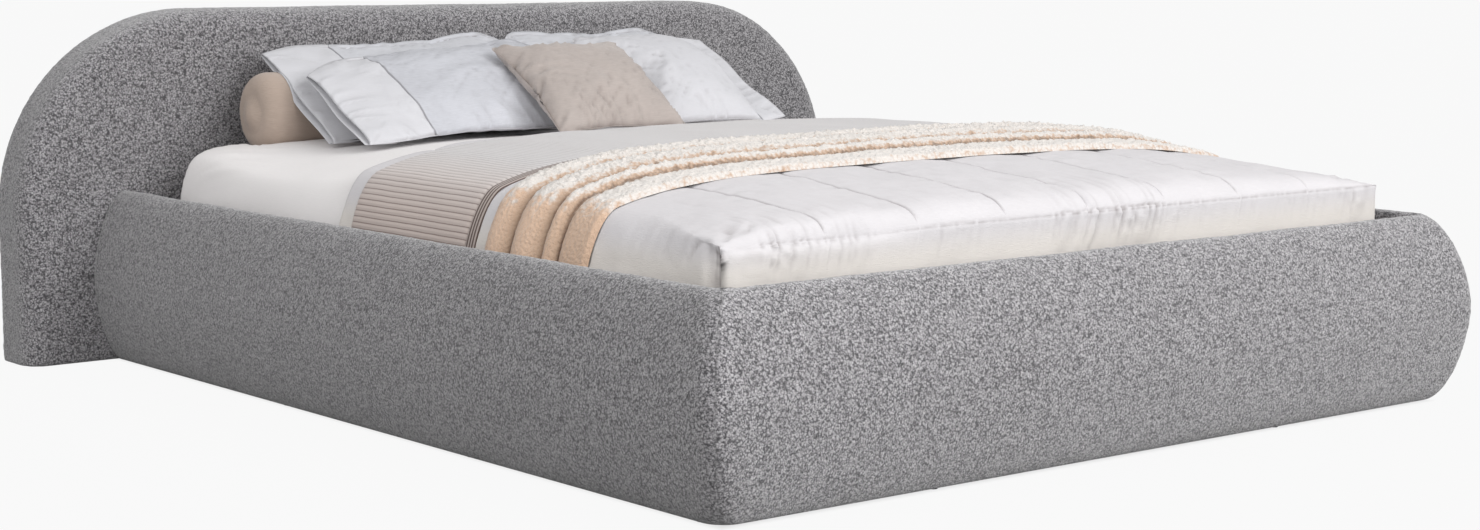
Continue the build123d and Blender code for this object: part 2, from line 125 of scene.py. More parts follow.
def rampNode(tree, factor, stops):
    node = addNode(tree, "ValToRGB", {"Fac": factor})
    while len(node.color_ramp.elements) < len(stops):
        node.color_ramp.elements.new(0.5)
    for element, (place, colour) in zip(node.color_ramp.elements, stops):
        element.position = place
        element.color = (*colour, 1)
    return node.outputs["Color"]


def scaled(colour, share):
    return tuple(c * share for c in colour)


def finished(mat, colour, height, depth, strength):
    # joins the colour and the bump to the shader
    tree = mat.node_tree
    shader = tree.nodes["Principled BSDF"]
    tree.links.new(colour, shader.inputs["Base Color"])
    bump = addNode(tree, "Bump", {"Height": height, "Distance": depth, "Strength": strength})
    tree.links.new(bump.outputs["Normal"], shader.inputs["Normal"])
    return mat


# small tools for meshes

noiseTable = {"size": 4096, "spread": (73856093, 19349663, 83492791)}


def softNoise(points, size, seed=0):
    # smooth random field from -1 to 1, with lumps of the given size
    table = np.random.default_rng(seed).uniform(-1, 1, noiseTable["size"])
    cell = np.floor(points / size).astype(np.int64)
    part = points / size - cell
    part = part * part * (3 - 2 * part)
    total = np.zeros(len(points))
    for corner in np.ndindex(2, 2, 2):
        key = np.bitwise_xor.reduce((cell + corner) * noiseTable["spread"], axis=1)
        weight = np.where(corner, part, 1 - part)
        total += table[key % noiseTable["size"]] * (weight[:, 0] * weight[:, 1] * weight[:, 2])
    return total


def noiseOn(first, second, third, size, seed):
    # soft noise at three fields of one shape; a plain number stands for a field that is the same all over
    points = np.stack([np.broadcast_to(field, first.shape).ravel() for field in (first, second, third)], 1)
    return softNoise(points, size, seed).reshape(first.shape)


def smoothStep(value):
    value = np.clip(value, 0, 1)
    return value * value * (3 - 2 * value)


def bell(distance, width):
    return np.exp(-(distance / width) ** 2)


def rising(distance, run):
    return 1 - np.exp(-distance / run)


def shadeSmooth(mesh):
    mesh.polygons.foreach_set("use_smooth", np.ones(len(mesh.polygons), dtype=bool))
    mesh.update()


def meshObject(name, points, faces, material, faceMaterials=None):
    mesh = bpy.data.meshes.new(name)
    mesh.from_pydata([tuple(p) for p in points], [], faces)
    mesh.update()
    piece = newObject(name, mesh)
    for one in (material if isinstance(material, (list, tuple)) else [material]):
        mesh.materials.append(one)
    if faceMaterials is not None:
        mesh.polygons.foreach_set("material_index", np.asarray(faceMaterials, dtype=np.int32))
    shadeSmooth(mesh)
    return piece


def gridFaces(rows, columns, closeColumns=False):
    faces = []
    for r in range(rows - 1):
        for c in range(columns if closeColumns else columns - 1):
            c2 = (c + 1) % columns
            faces.append((r * columns + c, r * columns + c2, (r + 1) * columns + c2, (r + 1) * columns + c))
    return faces


def pointsOf(piece, what="co"):
    flat = np.zeros(len(piece.data.vertices) * 3)
    piece.data.vertices.foreach_get(what, flat)
    return flat.reshape(-1, 3)


def normalsOf(piece):
    return pointsOf(piece, "normal")


def setPoints(piece, points):
    piece.data.vertices.foreach_set("co", np.ascontiguousarray(points, dtype=np.float64).ravel())
    piece.data.update()


def pushOut(piece, points, normals, lift):
    setPoints(piece, points + normals * lift[:, None])


def fixNormals(piece):
    # faces look outwards, and large flat ends stay flat up to their rim
    work = bmesh.new()
    work.from_mesh(piece.data)
    bmesh.ops.recalc_face_normals(work, faces=work.faces)
    for face in work.faces:
        if len(face.verts) > 50:
            face.smooth = False
    work.to_mesh(piece.data)
    work.free()
    piece.data.update()


def markFoldShade(piece, gain, shaded=()):
    # stores how far each point lies below the points round it, which the cloth shaders darken as painted
    # shade in folds and creases; shaded adds more painted shade
    points, normals = pointsOf(piece), normalsOf(piece)
    ends = np.zeros(len(piece.data.edges) * 2, dtype=np.int64)
    piece.data.edges.foreach_get("vertices", ends)
    first, second = ends.reshape(-1, 2).T
    count = np.bincount(ends, minlength=len(points)).clip(1)

    def around(values):
        total = np.zeros_like(values)
        np.add.at(total, first, values[second])
        np.add.at(total, second, values[first])
        return total / (count[:, None] if values.ndim > 1 else count)

    size = np.linalg.norm(points[first] - points[second], axis=1)
    reach = (np.bincount(first, size, len(points)) + np.bincount(second, size, len(points))) / count
    hollow = ((around(points) - points) * normals).sum(1) / reach.clip(1e-5)
    hollow = (hollow + around(hollow)) / 2 * gain
    hollow[:len(shaded)] += shaded
    hollow = np.clip(hollow, 0, 1)
    piece.data.attributes.new("hollow", "FLOAT", "POINT").data.foreach_set("value", hollow)


def applyModifiers(piece):
    graph = bpy.context.evaluated_depsgraph_get()
    done = bpy.data.meshes.new_from_object(piece.evaluated_get(graph))
    piece.modifiers.clear()
    old = piece.data
    piece.data = done
    bpy.data.meshes.remove(old)


def steps(low, high, size):
    return np.linspace(low, high, max(2, int(round(abs(high - low) / size)) + 1))


def place(piece, body, slotName, *replaced):
    if replaced:
        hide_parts(*replaced)
    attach(piece, body)
    return piece


# boucle: looped yarn in light and dark greys, on the base and the headboard

boucle = {"loopsPerMetre": 215, "curlsPerMetre": 470, "clumpsPerMetre": 200, "fuzzPerMetre": 520,
          "warpPerMetre": 170, "warp": 0.006, "dark": (0.070, 0.067, 0.073),
          "middle": (0.385, 0.372, 0.387), "pale": (0.68, 0.66, 0.68), "tones": (0.48, 0.68, 0.92),
          "bumpDepth": 0.0045, "lumpSize": 0.009, "lumpHeight": 0.0008, "waveSize": 0.16,
          "waveHeight": 0.0016, "flatBelow": 0.012,
          "loopShare": 0.45, "curlShare": 0.35, "fuzzShare": 0.3, "yarnTone": 0.14, "clumpTone": 0.38}


def makeBoucle(name, share):
    dark, middle, pale = (scaled(boucle[tone], share) for tone in ("dark", "middle", "pale"))
    mat, tree, coords = newMaterial(name, rough=0.95, colour=middle, sheen=0.6)
    warp = addNode(tree, "TexNoise", {"Vector": coords, "Scale": boucle["warpPerMetre"], "Detail": 2})
    centred = vectorNode(tree, "SUBTRACT", {0: warp.outputs["Color"], 1: (0.5, 0.5, 0.5)})
    shift = vectorNode(tree, "SCALE", {0: centred, "Scale": boucle["warp"]})
    warped = vectorNode(tree, "ADD", {0: coords, 1: shift})
    loops = addNode(tree, "TexVoronoi", {"Vector": warped, "Scale": boucle["loopsPerMetre"]})
    curls = addNode(tree, "TexVoronoi", {"Vector": warped, "Scale": boucle["curlsPerMetre"]})
    fuzz = noiseNode(tree, coords, boucle["fuzzPerMetre"], 3, 1.2)
    clumps = noiseNode(tree, coords, boucle["clumpsPerMetre"], 2, 0.8)
    loopTop = mathNode(tree, "SUBTRACT", 1.0, loops.outputs["Distance"])
    curlTop = mathNode(tree, "SUBTRACT", 1.0, curls.outputs["Distance"])
    height = mathNode(tree, "MULTIPLY", loopTop, boucle["loopShare"])
    height = mathNode(tree, "MULTIPLY_ADD", curlTop, boucle["curlShare"], height)
    height = mathNode(tree, "MULTIPLY_ADD", fuzz, boucle["fuzzShare"], height)
    yarn = addNode(tree, "SeparateColor", {"Color": loops.outputs["Color"]})
    tone = mathNode(tree, "MULTIPLY_ADD", yarn.outputs["Red"], boucle["yarnTone"], height)
    clump = mathNode(tree, "SUBTRACT", clumps, 0.5)
    tone = mathNode(tree, "MULTIPLY_ADD", clump, boucle["clumpTone"], tone)
    colour = rampNode(tree, tone, list(zip(boucle["tones"], (dark, middle, pale))))
    return finished(mat, colour, height, boucle["bumpDepth"], 0.8)


boucleMaterial = makeBoucle("greyBoucle", 1.0)
# the headboard gets a darker copy of the same boucle: painted shade
shadedHeadBoucle = makeBoucle("greyBoucleHeadPaintedShade", 0.88)
# the side rails get a darker copy of the same boucle: painted shade
shadedSideBoucle = makeBoucle("greyBoucleSidePaintedShade", 0.80)


def boucleLumps(piece):
    points = pointsOf(piece)
    lumps = softNoise(points, boucle["lumpSize"], 3) + 0.6 * softNoise(points, boucle["lumpSize"] * 0.55, 4)
    waves = softNoise(points, boucle["waveSize"], 5) * boucle["waveHeight"]
    fade = np.clip((points[:, 2] - boucle["flatBelow"]) / 0.02, 0, 1)
    pushOut(piece, points, normalsOf(piece), (lumps * boucle["lumpHeight"] + waves) * fade)


# base: three pads that share one bulging section, mitred at the two foot corners

base = {"innerHalf": 0.952, "footInner": -1.159, "headEnd": 1.075, "thick": 0.097, "top": 0.404,
        "bottom": 0.006, "bulge": 0.202, "topInset": 0.080, "bottomInset": 0.062, "power": 1.65,
        "corner": 0.045, "wrapEnd": 0.264, "boardOuter": 0.0765, "mesh": 0.008, "seamDip": 0.0005,
        "seamReach": 0.008, "innerEdge": 0.010, "innerCorner": 0.012, "outerPart": 0.088,
        "mitreRun": 2.3, "seamInset": 0.09, "sideLength": 2.31, "footLength": 2.06}
base["outerHalf"] = base["innerHalf"] + base["thick"]
base["footFace"] = base["footInner"] - base["thick"]


def railSection():
    # inset from the outer face, and height, round the whole section
    inset, height = [], []
    for angle in np.linspace(-90, 90, 74):
        bow = abs(math.sin(math.radians(angle))) ** (2 / base["power"])
        draw = 1 - math.cos(math.radians(angle)) ** (2 / base["power"])
        reach = base["top"] - base["bulge"] if angle >= 0 else base["bottom"] - base["bulge"]
        inset.append(draw * (base["topInset"] if angle >= 0 else base["bottomInset"]))
        height.append(base["bulge"] + bow * reach)
    edge = base["innerEdge"]
    for angle in np.linspace(0, 90, 5):
        inset.append(base["thick"] - edge + edge * math.sin(math.radians(angle)))
        height.append(base["top"] - edge + edge * math.cos(math.radians(angle)))
    wrapped, bare = (0.37, 0.33, 0.29, base["wrapEnd"]), (base["wrapEnd"], 0.18, 0.09, base["bottom"])
    inset += [base["thick"]] * len(wrapped) + [base["boardOuter"] - 0.002] * len(bare)
    return np.array(inset), np.array(height + [*wrapped, *bare])


def railPath(inset, share):
    # plan of the base at one inset:
    # share 0 to 1 runs down the left side, 1 to 2 along the foot, 2 to 3 up the right
    radius = np.where(inset < base["outerPart"], base["corner"], base["innerCorner"])
    side = base["outerHalf"] - inset
    foot = base["footFace"] + inset
    quarter = radius * math.pi / 4
    if share <= 1:
        run = base["headEnd"] - foot - radius
        along = share * (run + quarter)
        turn = np.clip((along - run) / radius, 0, None)
        x = -side + radius * (1 - np.cos(turn))
        y = np.where(along < run, base["headEnd"] - along, foot + radius - radius * np.sin(turn))
        return x, y
    if share >= 2:
        x, y = railPath(inset, 3 - share)
        return -x, y
    run = side - radius
    along = abs(share - 1.5) * 2 * (run + quarter)
    turn = np.clip((along - run) / radius, 0, None)
    x = np.where(along < run, along, run + radius * np.sin(turn))
    y = foot + radius * (1 - np.cos(turn))
    return (x if share > 1.5 else -x), y


def railPad(name, shareFrom, length, material):
    inset, height = railSection()
    shares = np.linspace(shareFrom, shareFrom + 1, int(length / base["mesh"]) + 1)
    rings = []
    for share in shares:
        mitre = min(abs(share - corner) for corner in (1.0, 2.0)) * base["mitreRun"]
        dip = base["seamDip"] * math.exp(-(mitre / base["seamReach"]) ** 2)
        x, y = railPath(inset + np.where(inset < base["seamInset"], dip, 0), share)
        rings.append(np.stack([x, y, height], axis=1))
    count = len(inset)
    faces = gridFaces(len(shares), count, closeColumns=True)
    tube = meshObject(name + "Tube", np.concatenate(rings), faces, material)
    fixNormals(tube)
    boucleLumps(tube)
    points = pointsOf(tube)
    bpy.data.objects.remove(tube, do_unlink=True)
    faces.append(tuple(range(count))[::-1])
    faces.append(tuple((len(shares) - 1) * count + i for i in range(count)))
    piece = meshObject(name, points, faces, material)
    fixNormals(piece)
    return piece


for shareFrom, (padName, node, length, cover) in enumerate((
        ("leftRailPad", "side_rail_upholstery_left", base["sideLength"], shadedSideBoucle),
        ("footRailPad", "foot_rail_upholstery", base["footLength"], boucleMaterial),
        ("rightRailPad", "side_rail_upholstery_right", base["sideLength"], shadedSideBoucle))):
    pad = railPad(padName, shareFrom, length, cover)
    place(pad, "bed_frame", "boucle", node)
print("bed: base padded")

# headboard: one padded slab with large round upper corners and rounded edges

headboard = {"half": 1.2175, "height": 0.825, "corner": 0.472, "front": 1.075, "back": 1.256, "bottom": 0.006,
             "edge": 0.050, "edgeSteps": 8, "mesh": 0.008, "soften": 4}


def makeHeadboard():
    h = headboard
    outline = [(-h["half"], h["bottom"])]
    for angle in np.radians(np.linspace(0, 90, 40)):
        x = -h["half"] + h["corner"] * (1 - math.cos(angle))
        outline.append((x, h["height"] - h["corner"] * (1 - math.sin(angle))))
    outline += [(-x, z) for x, z in reversed(outline)]
    work = bmesh.new()
    face = work.faces.new([work.verts.new((x, h["front"], z)) for x, z in outline])
    grown = bmesh.ops.extrude_face_region(work, geom=[face])["geom"]
    moved = [v for v in grown if isinstance(v, bmesh.types.BMVert)]
    bmesh.ops.translate(work, verts=moved, vec=(0, h["back"] - h["front"], 0))
    bmesh.ops.recalc_face_normals(work, faces=work.faces)
    rims = [e for e in work.edges if abs(e.verts[0].co.y - e.verts[1].co.y) < 1e-6
            and max(e.verts[0].co.z, e.verts[1].co.z) > h["bottom"] + 1e-4]
    bmesh.ops.bevel(work, geom=rims, offset=h["edge"], segments=h["edgeSteps"], profile=0.5, affect="EDGES",
                    clamp_overlap=False)
    mesh = bpy.data.meshes.new("headboardPad")
    work.to_mesh(mesh)
    work.free()
    piece = newObject("headboardPad", mesh)
    remesh = piece.modifiers.new("even", "REMESH")
    remesh.mode = "VOXEL"
    remesh.voxel_size = h["mesh"]
    smooth = piece.modifiers.new("soften", "SMOOTH")
    smooth.factor = 0.5
    smooth.iterations = h["soften"]
    applyModifiers(piece)
    piece.data.materials.append(shadedHeadBoucle)
    shadeSmooth(piece.data)
    points = pointsOf(piece)
    points[:, 2] = np.maximum(points[:, 2], h["bottom"])
    setPoints(piece, points)
    boucleLumps(piece)
    return piece


headboardPad = makeHeadboard()
place(headboardPad, "bed_frame", "boucle", "headboard_upholstery")
print("bed: headboard padded,", len(headboardPad.data.vertices), "points")

# bed clothes: all of them follow one crown, domed over the middle and rounded down both sides

crown = {"half": 0.900, "foot": -1.065, "head": 0.935, "headEnd": 0.949, "bottom": 0.2503,
         "sideTop": 0.4453, "lift": 0.122, "across": 0.17, "headRun": 0.36, "footPuff": 0.30,
         "footPuffRun": 0.020, "footRun": 0.60, "shoulder": 0.056, "shoulderAcross": 0.030,
         "shoulderRun": 0.25, "sideRound": 0.080, "headRound": 0.052, "roundShift": (0.20, 0.60),
         "boxy": (2.0, 3.0), "squareShare": 0.12, "footSquare": 0.30, "cornerRound": 0.030}
crown["flatFrom"] = crown["sideRound"] * 1.05   # the rounding has ended here on every layer
bolsterSeat = {"axis": 0.905, "height": 0.5825, "radius": 0.0985, "gap": 0.001,
               "ends": (-0.725, 0.185), "reach": 0.05}
edgeTurns = np.linspace(math.pi / 2, 0, 21)


def crownTop(x, y, offset, footOffset=None):
    # height over the bed of a layer whose edges lie the offset outside the mattress
    depth = np.maximum(crown["half"] + offset - np.abs(x), 0)
    fromFoot = np.maximum(y - crown["foot"] + (offset if footOffset is None else footOffset), 0)
    fromHead = np.maximum(crown["headEnd"] + offset - y, 0)
    foot = crown["footPuff"] * rising(fromFoot, crown["footPuffRun"])
    foot += (1 - crown["footPuff"]) * rising(fromFoot, crown["footRun"])
    dome = crown["lift"] * rising(depth, crown["across"]) * foot * rising(fromHead, crown["headRun"])
    shoulder = crown["shoulder"] * rising(depth, crown["shoulderAcross"])
    shoulder *= bell(fromHead, crown["shoulderRun"])
    z = crown["sideTop"] + dome + shoulder
    # the bolster presses a trough into the head end
    seat = bolsterSeat
    fromAxis = y - seat["axis"]
    under = np.sqrt(np.maximum((seat["radius"] + offset) ** 2 - fromAxis ** 2, 0))
    low = seat["height"] - under - seat["gap"]
    share = smoothStep((x - seat["ends"][0]) / seat["reach"] + 0.5)
    share = share * smoothStep((seat["ends"][1] - x) / seat["reach"] + 0.5)
    share = share * (np.abs(fromAxis) < seat["radius"])
    return z - share * np.maximum(z - low, 0)


def sideSection(boxy):
    # inset and fall, from 0 to 1, of a rounded edge from its upright foot to its flat top
    return 1 - np.sin(edgeTurns) ** (2 / boxy), 1 - np.cos(edgeTurns) ** (2 / boxy)


def coverGrid(ys, offset, footOffset, rise, hem, inner, falls=None):
    # rows of points across the bed, from the hem on the left over the crown to the hem on the right
    half, rows = crown["half"] + offset, []
    for y, endFall in zip(ys, np.zeros(len(ys)) if falls is None else falls):
        soft = smoothStep((y - crown["foot"] + footOffset) / crown["footSquare"])
        shift = smoothStep((y - crown["roundShift"][0]) / (crown["roundShift"][1] - crown["roundShift"][0]))
        reach = crown["sideRound"] * (1 - shift) + crown["headRound"] * shift
        reach *= crown["squareShare"] + (1 - crown["squareShare"]) * soft
        inset, fall = sideSection(crown["boxy"][0] * (1 - shift) + crown["boxy"][1] * shift)
        flat = np.linspace(reach, crown["flatFrom"], 6)[1:-1]
        depth = np.concatenate([reach * inset, flat])
        fall = np.concatenate([fall, np.zeros(len(flat))])
        x = np.concatenate([depth - half, inner, (half - depth)[::-1]])
        keep = (1 - np.concatenate([fall, np.zeros(len(inner)), fall[::-1]])) * (1 - endFall)
        z = crownTop(x, np.full_like(x, y), offset, footOffset) + rise
        rows.append(np.stack([x, np.full_like(x, y), hem + keep * (z - hem)], 1))
    return np.array(rows)


def headRows(ys, offset):
    # adds the rows that round down over the head end, with how far each has come down
    inset, fall = sideSection(crown["boxy"][1])
    end = crown["headEnd"] + offset
    ys = ys[ys < end - crown["headRound"] * 1.03]
    rounded = (end - crown["headRound"] * inset)[::-1]
    return np.concatenate([ys, rounded]), np.concatenate([np.zeros(len(ys)), fall[::-1]])


def innerSteps(size, lines=()):
    # even places across the top, with finer ones at the sewn lines
    reach = crown["half"] - crown["flatFrom"] + 0.002
    close = np.array([-0.007, -0.0045, -0.0022, 0, 0.0022, 0.0045, 0.007])
    places = np.unique(np.concatenate([steps(-reach, reach, size)] + [line + close for line in lines]))
    return places[np.concatenate([[True], np.diff(places) > 0.0008])]


def outward(grid):
    # directions out of the cloth, in the plane across the bed
    run = np.gradient(grid, axis=1)
    normal = np.stack([-run[..., 2], np.zeros(run.shape[:2]), run[..., 0]], -1)
    return normal / np.maximum(np.linalg.norm(normal, axis=-1, keepdims=True), 1e-9)


def roundCorner(x, y, halfX, foot, head, radius):
    # pulls the square corners of a plan onto a circle
    for signX in (-1, 1):
        for edge, signY in ((foot, -1), (head, 1)):
            if edge is None:
                continue
            a, b = signX * x - (halfX - radius), signY * y - (signY * edge - radius)
            corner = (a > 0) & (b > 0)
            scale = np.where(corner, np.maximum(a, b) / np.maximum(np.hypot(a, b), 1e-9), 1)
            x = np.where(corner, signX * (halfX - radius + a * scale), x)
            y = np.where(corner, signY * (signY * edge - radius + b * scale), y)
    return x, y


def bedCover(name, material, ys, offset, footOffset, rise, hem, inner, headRound=True, closed=False):
    # a cover with an upright wall at the foot, rounded down at the sides and, where asked, at the head
    falls = None
    if headRound:
        ys, falls = headRows(ys, offset)
    grid = coverGrid(ys, offset, footOffset, rise, hem, inner, falls)
    rows, columns = grid.shape[:2]
    levels = len(edgeTurns)
    points, faces = [grid.reshape(-1, 3)], gridFaces(rows, columns)
    count = rows * columns
    rim = grid[0, levels - 1:columns - levels + 1]
    index = np.zeros((levels, len(rim)), dtype=int)
    for level in range(levels):
        index[level, 0], index[level, -1] = level, columns - 1 - level
        if level == levels - 1:
            index[level, 1:-1] = levels + np.arange(len(rim) - 2)
            continue
        wall = rim[1:-1].copy()
        wall[:, 2] = hem + (grid[0, level, 2] - hem) * (wall[:, 2] - hem) / (rim[0, 2] - hem)
        points.append(wall)
        index[level, 1:-1] = count + np.arange(len(wall))
        count += len(wall)
    for level in range(levels - 1):
        for c in range(len(rim) - 1):
            faces.append((index[level, c], index[level, c + 1], index[level + 1, c + 1], index[level + 1, c]))
    if closed:
        left = [row * columns for row in range(rows)]
        right = [start + columns - 1 for start in left]
        last = [(rows - 1) * columns + c for c in range(1, columns - 1)]
        faces.append(tuple(left[::-1] + [int(v) for v in index[0, 1:-1]] + right + last[::-1]))
    points = np.concatenate(points)
    x, y = roundCorner(points[:, 0], points[:, 1], crown["half"] + offset, crown["foot"] - footOffset,
                       crown["headEnd"] + offset if headRound else None, crown["cornerRound"])
    piece = meshObject(name, np.stack([x, y, points[:, 2]], 1), faces, material)
    fixNormals(piece)
    return piece


# roughness of every cloth, and how much of its red, green and blue a deep fold keeps under painted fold shade
clothRough, foldShadeShare = 0.9, (0.42, 0.39, 0.38)


def clothWeave(name, colour, shade, weavePerMetre=700, bump=0.0008, sheen=0.06, tint=None):
    # plain woven cloth with a soft change of tone; tint adds a second colour below a height; folds get
    # painted shade
    mat, tree, coords = newMaterial(name, rough=clothRough, colour=colour, sheen=sheen)
    patches, threads = noiseNode(tree, coords, 9, 3), noiseNode(tree, coords, weavePerMetre)
    slub = noiseNode(tree, stretched(tree, coords, (60, 60, 900)), 1.0)
    tone = mathNode(tree, "MULTIPLY_ADD", patches, 0.5, mathNode(tree, "MULTIPLY", slub, 0.5))
    finish = rampNode(tree, tone, [(0.3, scaled(colour, 1 - shade)), (0.7, colour)])
    if tint:
        share = rangeNode(tree, splitNode(tree, coords)["Z"], tint[1], tint[2], 1, 0, ease="SMOOTHSTEP")
        finish = mixNode(tree, share, finish, (*tint[0], 1))
    # painted shade: darker colour where the hollow attribute marks a fold or crease
    hollow = addNode(tree, "Attribute", attribute_name="hollow")
    sunk = tuple(c * k for c, k in zip(colour, foldShadeShare))
    folded = mixNode(tree, hollow.outputs["Fac"], finish, (*sunk, 1))
    return finished(mat, folded, mathNode(tree, "ADD", threads, slub), bump, 0.6)


# mattress: a rounded block in knitted ticking

mattress = {"mesh": 0.03, "colour": (0.78, 0.77, 0.74)}
tickingMaterial = clothWeave("mattressTicking", mattress["colour"], 0.08, weavePerMetre=420, bump=0.0012)
mattressRows = steps(crown["foot"], crown["head"], mattress["mesh"])
mattressBody = bedCover("mattressBody", tickingMaterial, mattressRows, 0, 0, 0, crown["bottom"],
                        innerSteps(mattress["mesh"]), closed=True)
place(mattressBody, "mattress_and_bedding", "mattress_ticking", "mattress")

# fitted sheet: thin cotton, pulled tight, with a few creases from its corners

sheet = {"offset": 0.0022, "hem": 0.276, "mesh": 0.012, "creaseHeight": 0.0030, "creaseAt": 0.16,
         "creaseWidth": 0.13, "gather": 0.0014, "flow": 0.0009, "colour": (0.87, 0.845, 0.84),
         "gatherRate": 160, "fans": 34, "flatTop": 0.36}


def makeSheet():
    finish = clothWeave("whiteSheetCotton", sheet["colour"], 0.04, weavePerMetre=900, bump=0.0004)
    offset = sheet["offset"]
    rows = steps(crown["foot"] - offset, crown["head"] + offset, sheet["mesh"])
    inner = innerSteps(sheet["mesh"])
    piece = bedCover("fittedSheet", finish, rows, offset, offset, offset, sheet["hem"], inner)
    points, normals = pointsOf(piece), normalsOf(piece)
    x, y, z = points.T
    creases = np.zeros(len(points))
    for sideX in (-1, 1):
        for edgeY in (crown["foot"], crown["head"]):
            alongX, alongY = x - sideX * crown["half"], y - edgeY
            turn = np.arctan2(alongY, alongX)
            fan = (0.5 + 0.5 * np.sin(turn * sheet["fans"] + np.sin(turn * 9) * 2)) ** 3
            creases += fan * bell(np.hypot(alongX, alongY) - sheet["creaseAt"], sheet["creaseWidth"])
    wall = np.clip((crown["sideTop"] - z) / 0.10, 0, 1)
    phase = (x + y) * sheet["gatherRate"] + softNoise(points, 0.07, 8) * 3
    gathers = (0.5 + 0.5 * np.sin(phase)) ** 2 * wall
    flow = noiseOn(x * 2.5, y, z, 0.13, 9) + 0.4 * noiseOn(x * 2.0, y, z, 0.05, 10)
    lift = sheet["creaseHeight"] * creases + sheet["gather"] * gathers
    lift += sheet["flow"] * (flow + 1.4) * np.clip((z - sheet["flatTop"]) / 0.05, 0, 1)
    pushOut(piece, points, normals, lift)
    return piece


sheetPiece = makeSheet()
markFoldShade(sheetPiece, 1.5)
place(sheetPiece, "mattress_and_bedding", "sheet_cotton", "fitted_sheet")
print("bed: mattress and sheet")

# quilt: sewn channels down its length, gathered where it drops over the foot

# the sewn lines are darkened as thread and as painted shade of their grooves; pinchShade is painted shade in
# the tucked corner
quilt = {"side": 0.011, "footDrop": 0.032, "rise": 0.020, "head": 0.200, "hem": 0.300, "mesh": 0.0075,
         "channels": 7, "pitch": 0.221, "puff": 0.0050, "grooveWidth": 0.0022, "groove": 0.0070,
         "seam": 0.0015, "seamWidth": 0.0028, "gather": 0.0115, "bend": 0.030, "rumple": (0.0018, 0.0008),
         "openRumple": 0.9, "openFrom": -0.72, "slack": 0.0020, "threadAndShade": 0.55, "threadAndShadeWidth": 0.0050,
         "pucker": 0.0018, "puckerReach": 0.035, "headRoll": 0.017, "colour": (0.690, 0.670, 0.686),
         "hemColour": (0.735, 0.698, 0.660), "hemFade": (0.405, 0.462),
         "folds": (0.024, 0.011), "bunches": 0.12, "gatherRun": 0.085, "pinch": 0.010, "pinchShade": 0.75,
         "edgeThreadAndShade": 0.6, "edgeWidth": 0.0035}
# folds at the tucked corner: from, to, width and depth; their ends lie in plan, measured from the corner
cornerFolds = (((0.004, 0.030), (0.010, 0.110), 0.0050, -0.0060),
               ((0.010, 0.018), (0.034, 0.075), 0.0050, -0.0050),
               ((0.030, 0.020), (0.080, 0.085), 0.0060, -0.0045),
               ((0.055, 0.030), (0.135, 0.075), 0.0060, -0.0030),
               ((0.016, 0.030), (0.024, 0.095), 0.0060, 0.0040),
               ((0.045, 0.022), (0.105, 0.080), 0.0070, 0.0035))


def nearStroke(u, v, start, end, width):
    # 1 on a straight stroke, falling away to 0 beside it and towards its ends
    run = np.array(end) - np.array(start)
    length = float(np.hypot(*run))
    along = ((u - start[0]) * run[0] + (v - start[1]) * run[1]) / length
    beside = ((u - start[0]) * run[1] - (v - start[1]) * run[0]) / length
    bend = beside - 0.12 * length * np.sin(np.clip(along / length, 0, 1) * math.pi)
    fade = smoothStep((length - along) / length * 2.5 + 0.2)
    return bell(bend, width) * smoothStep(along / length * 3 + 0.4) * fade


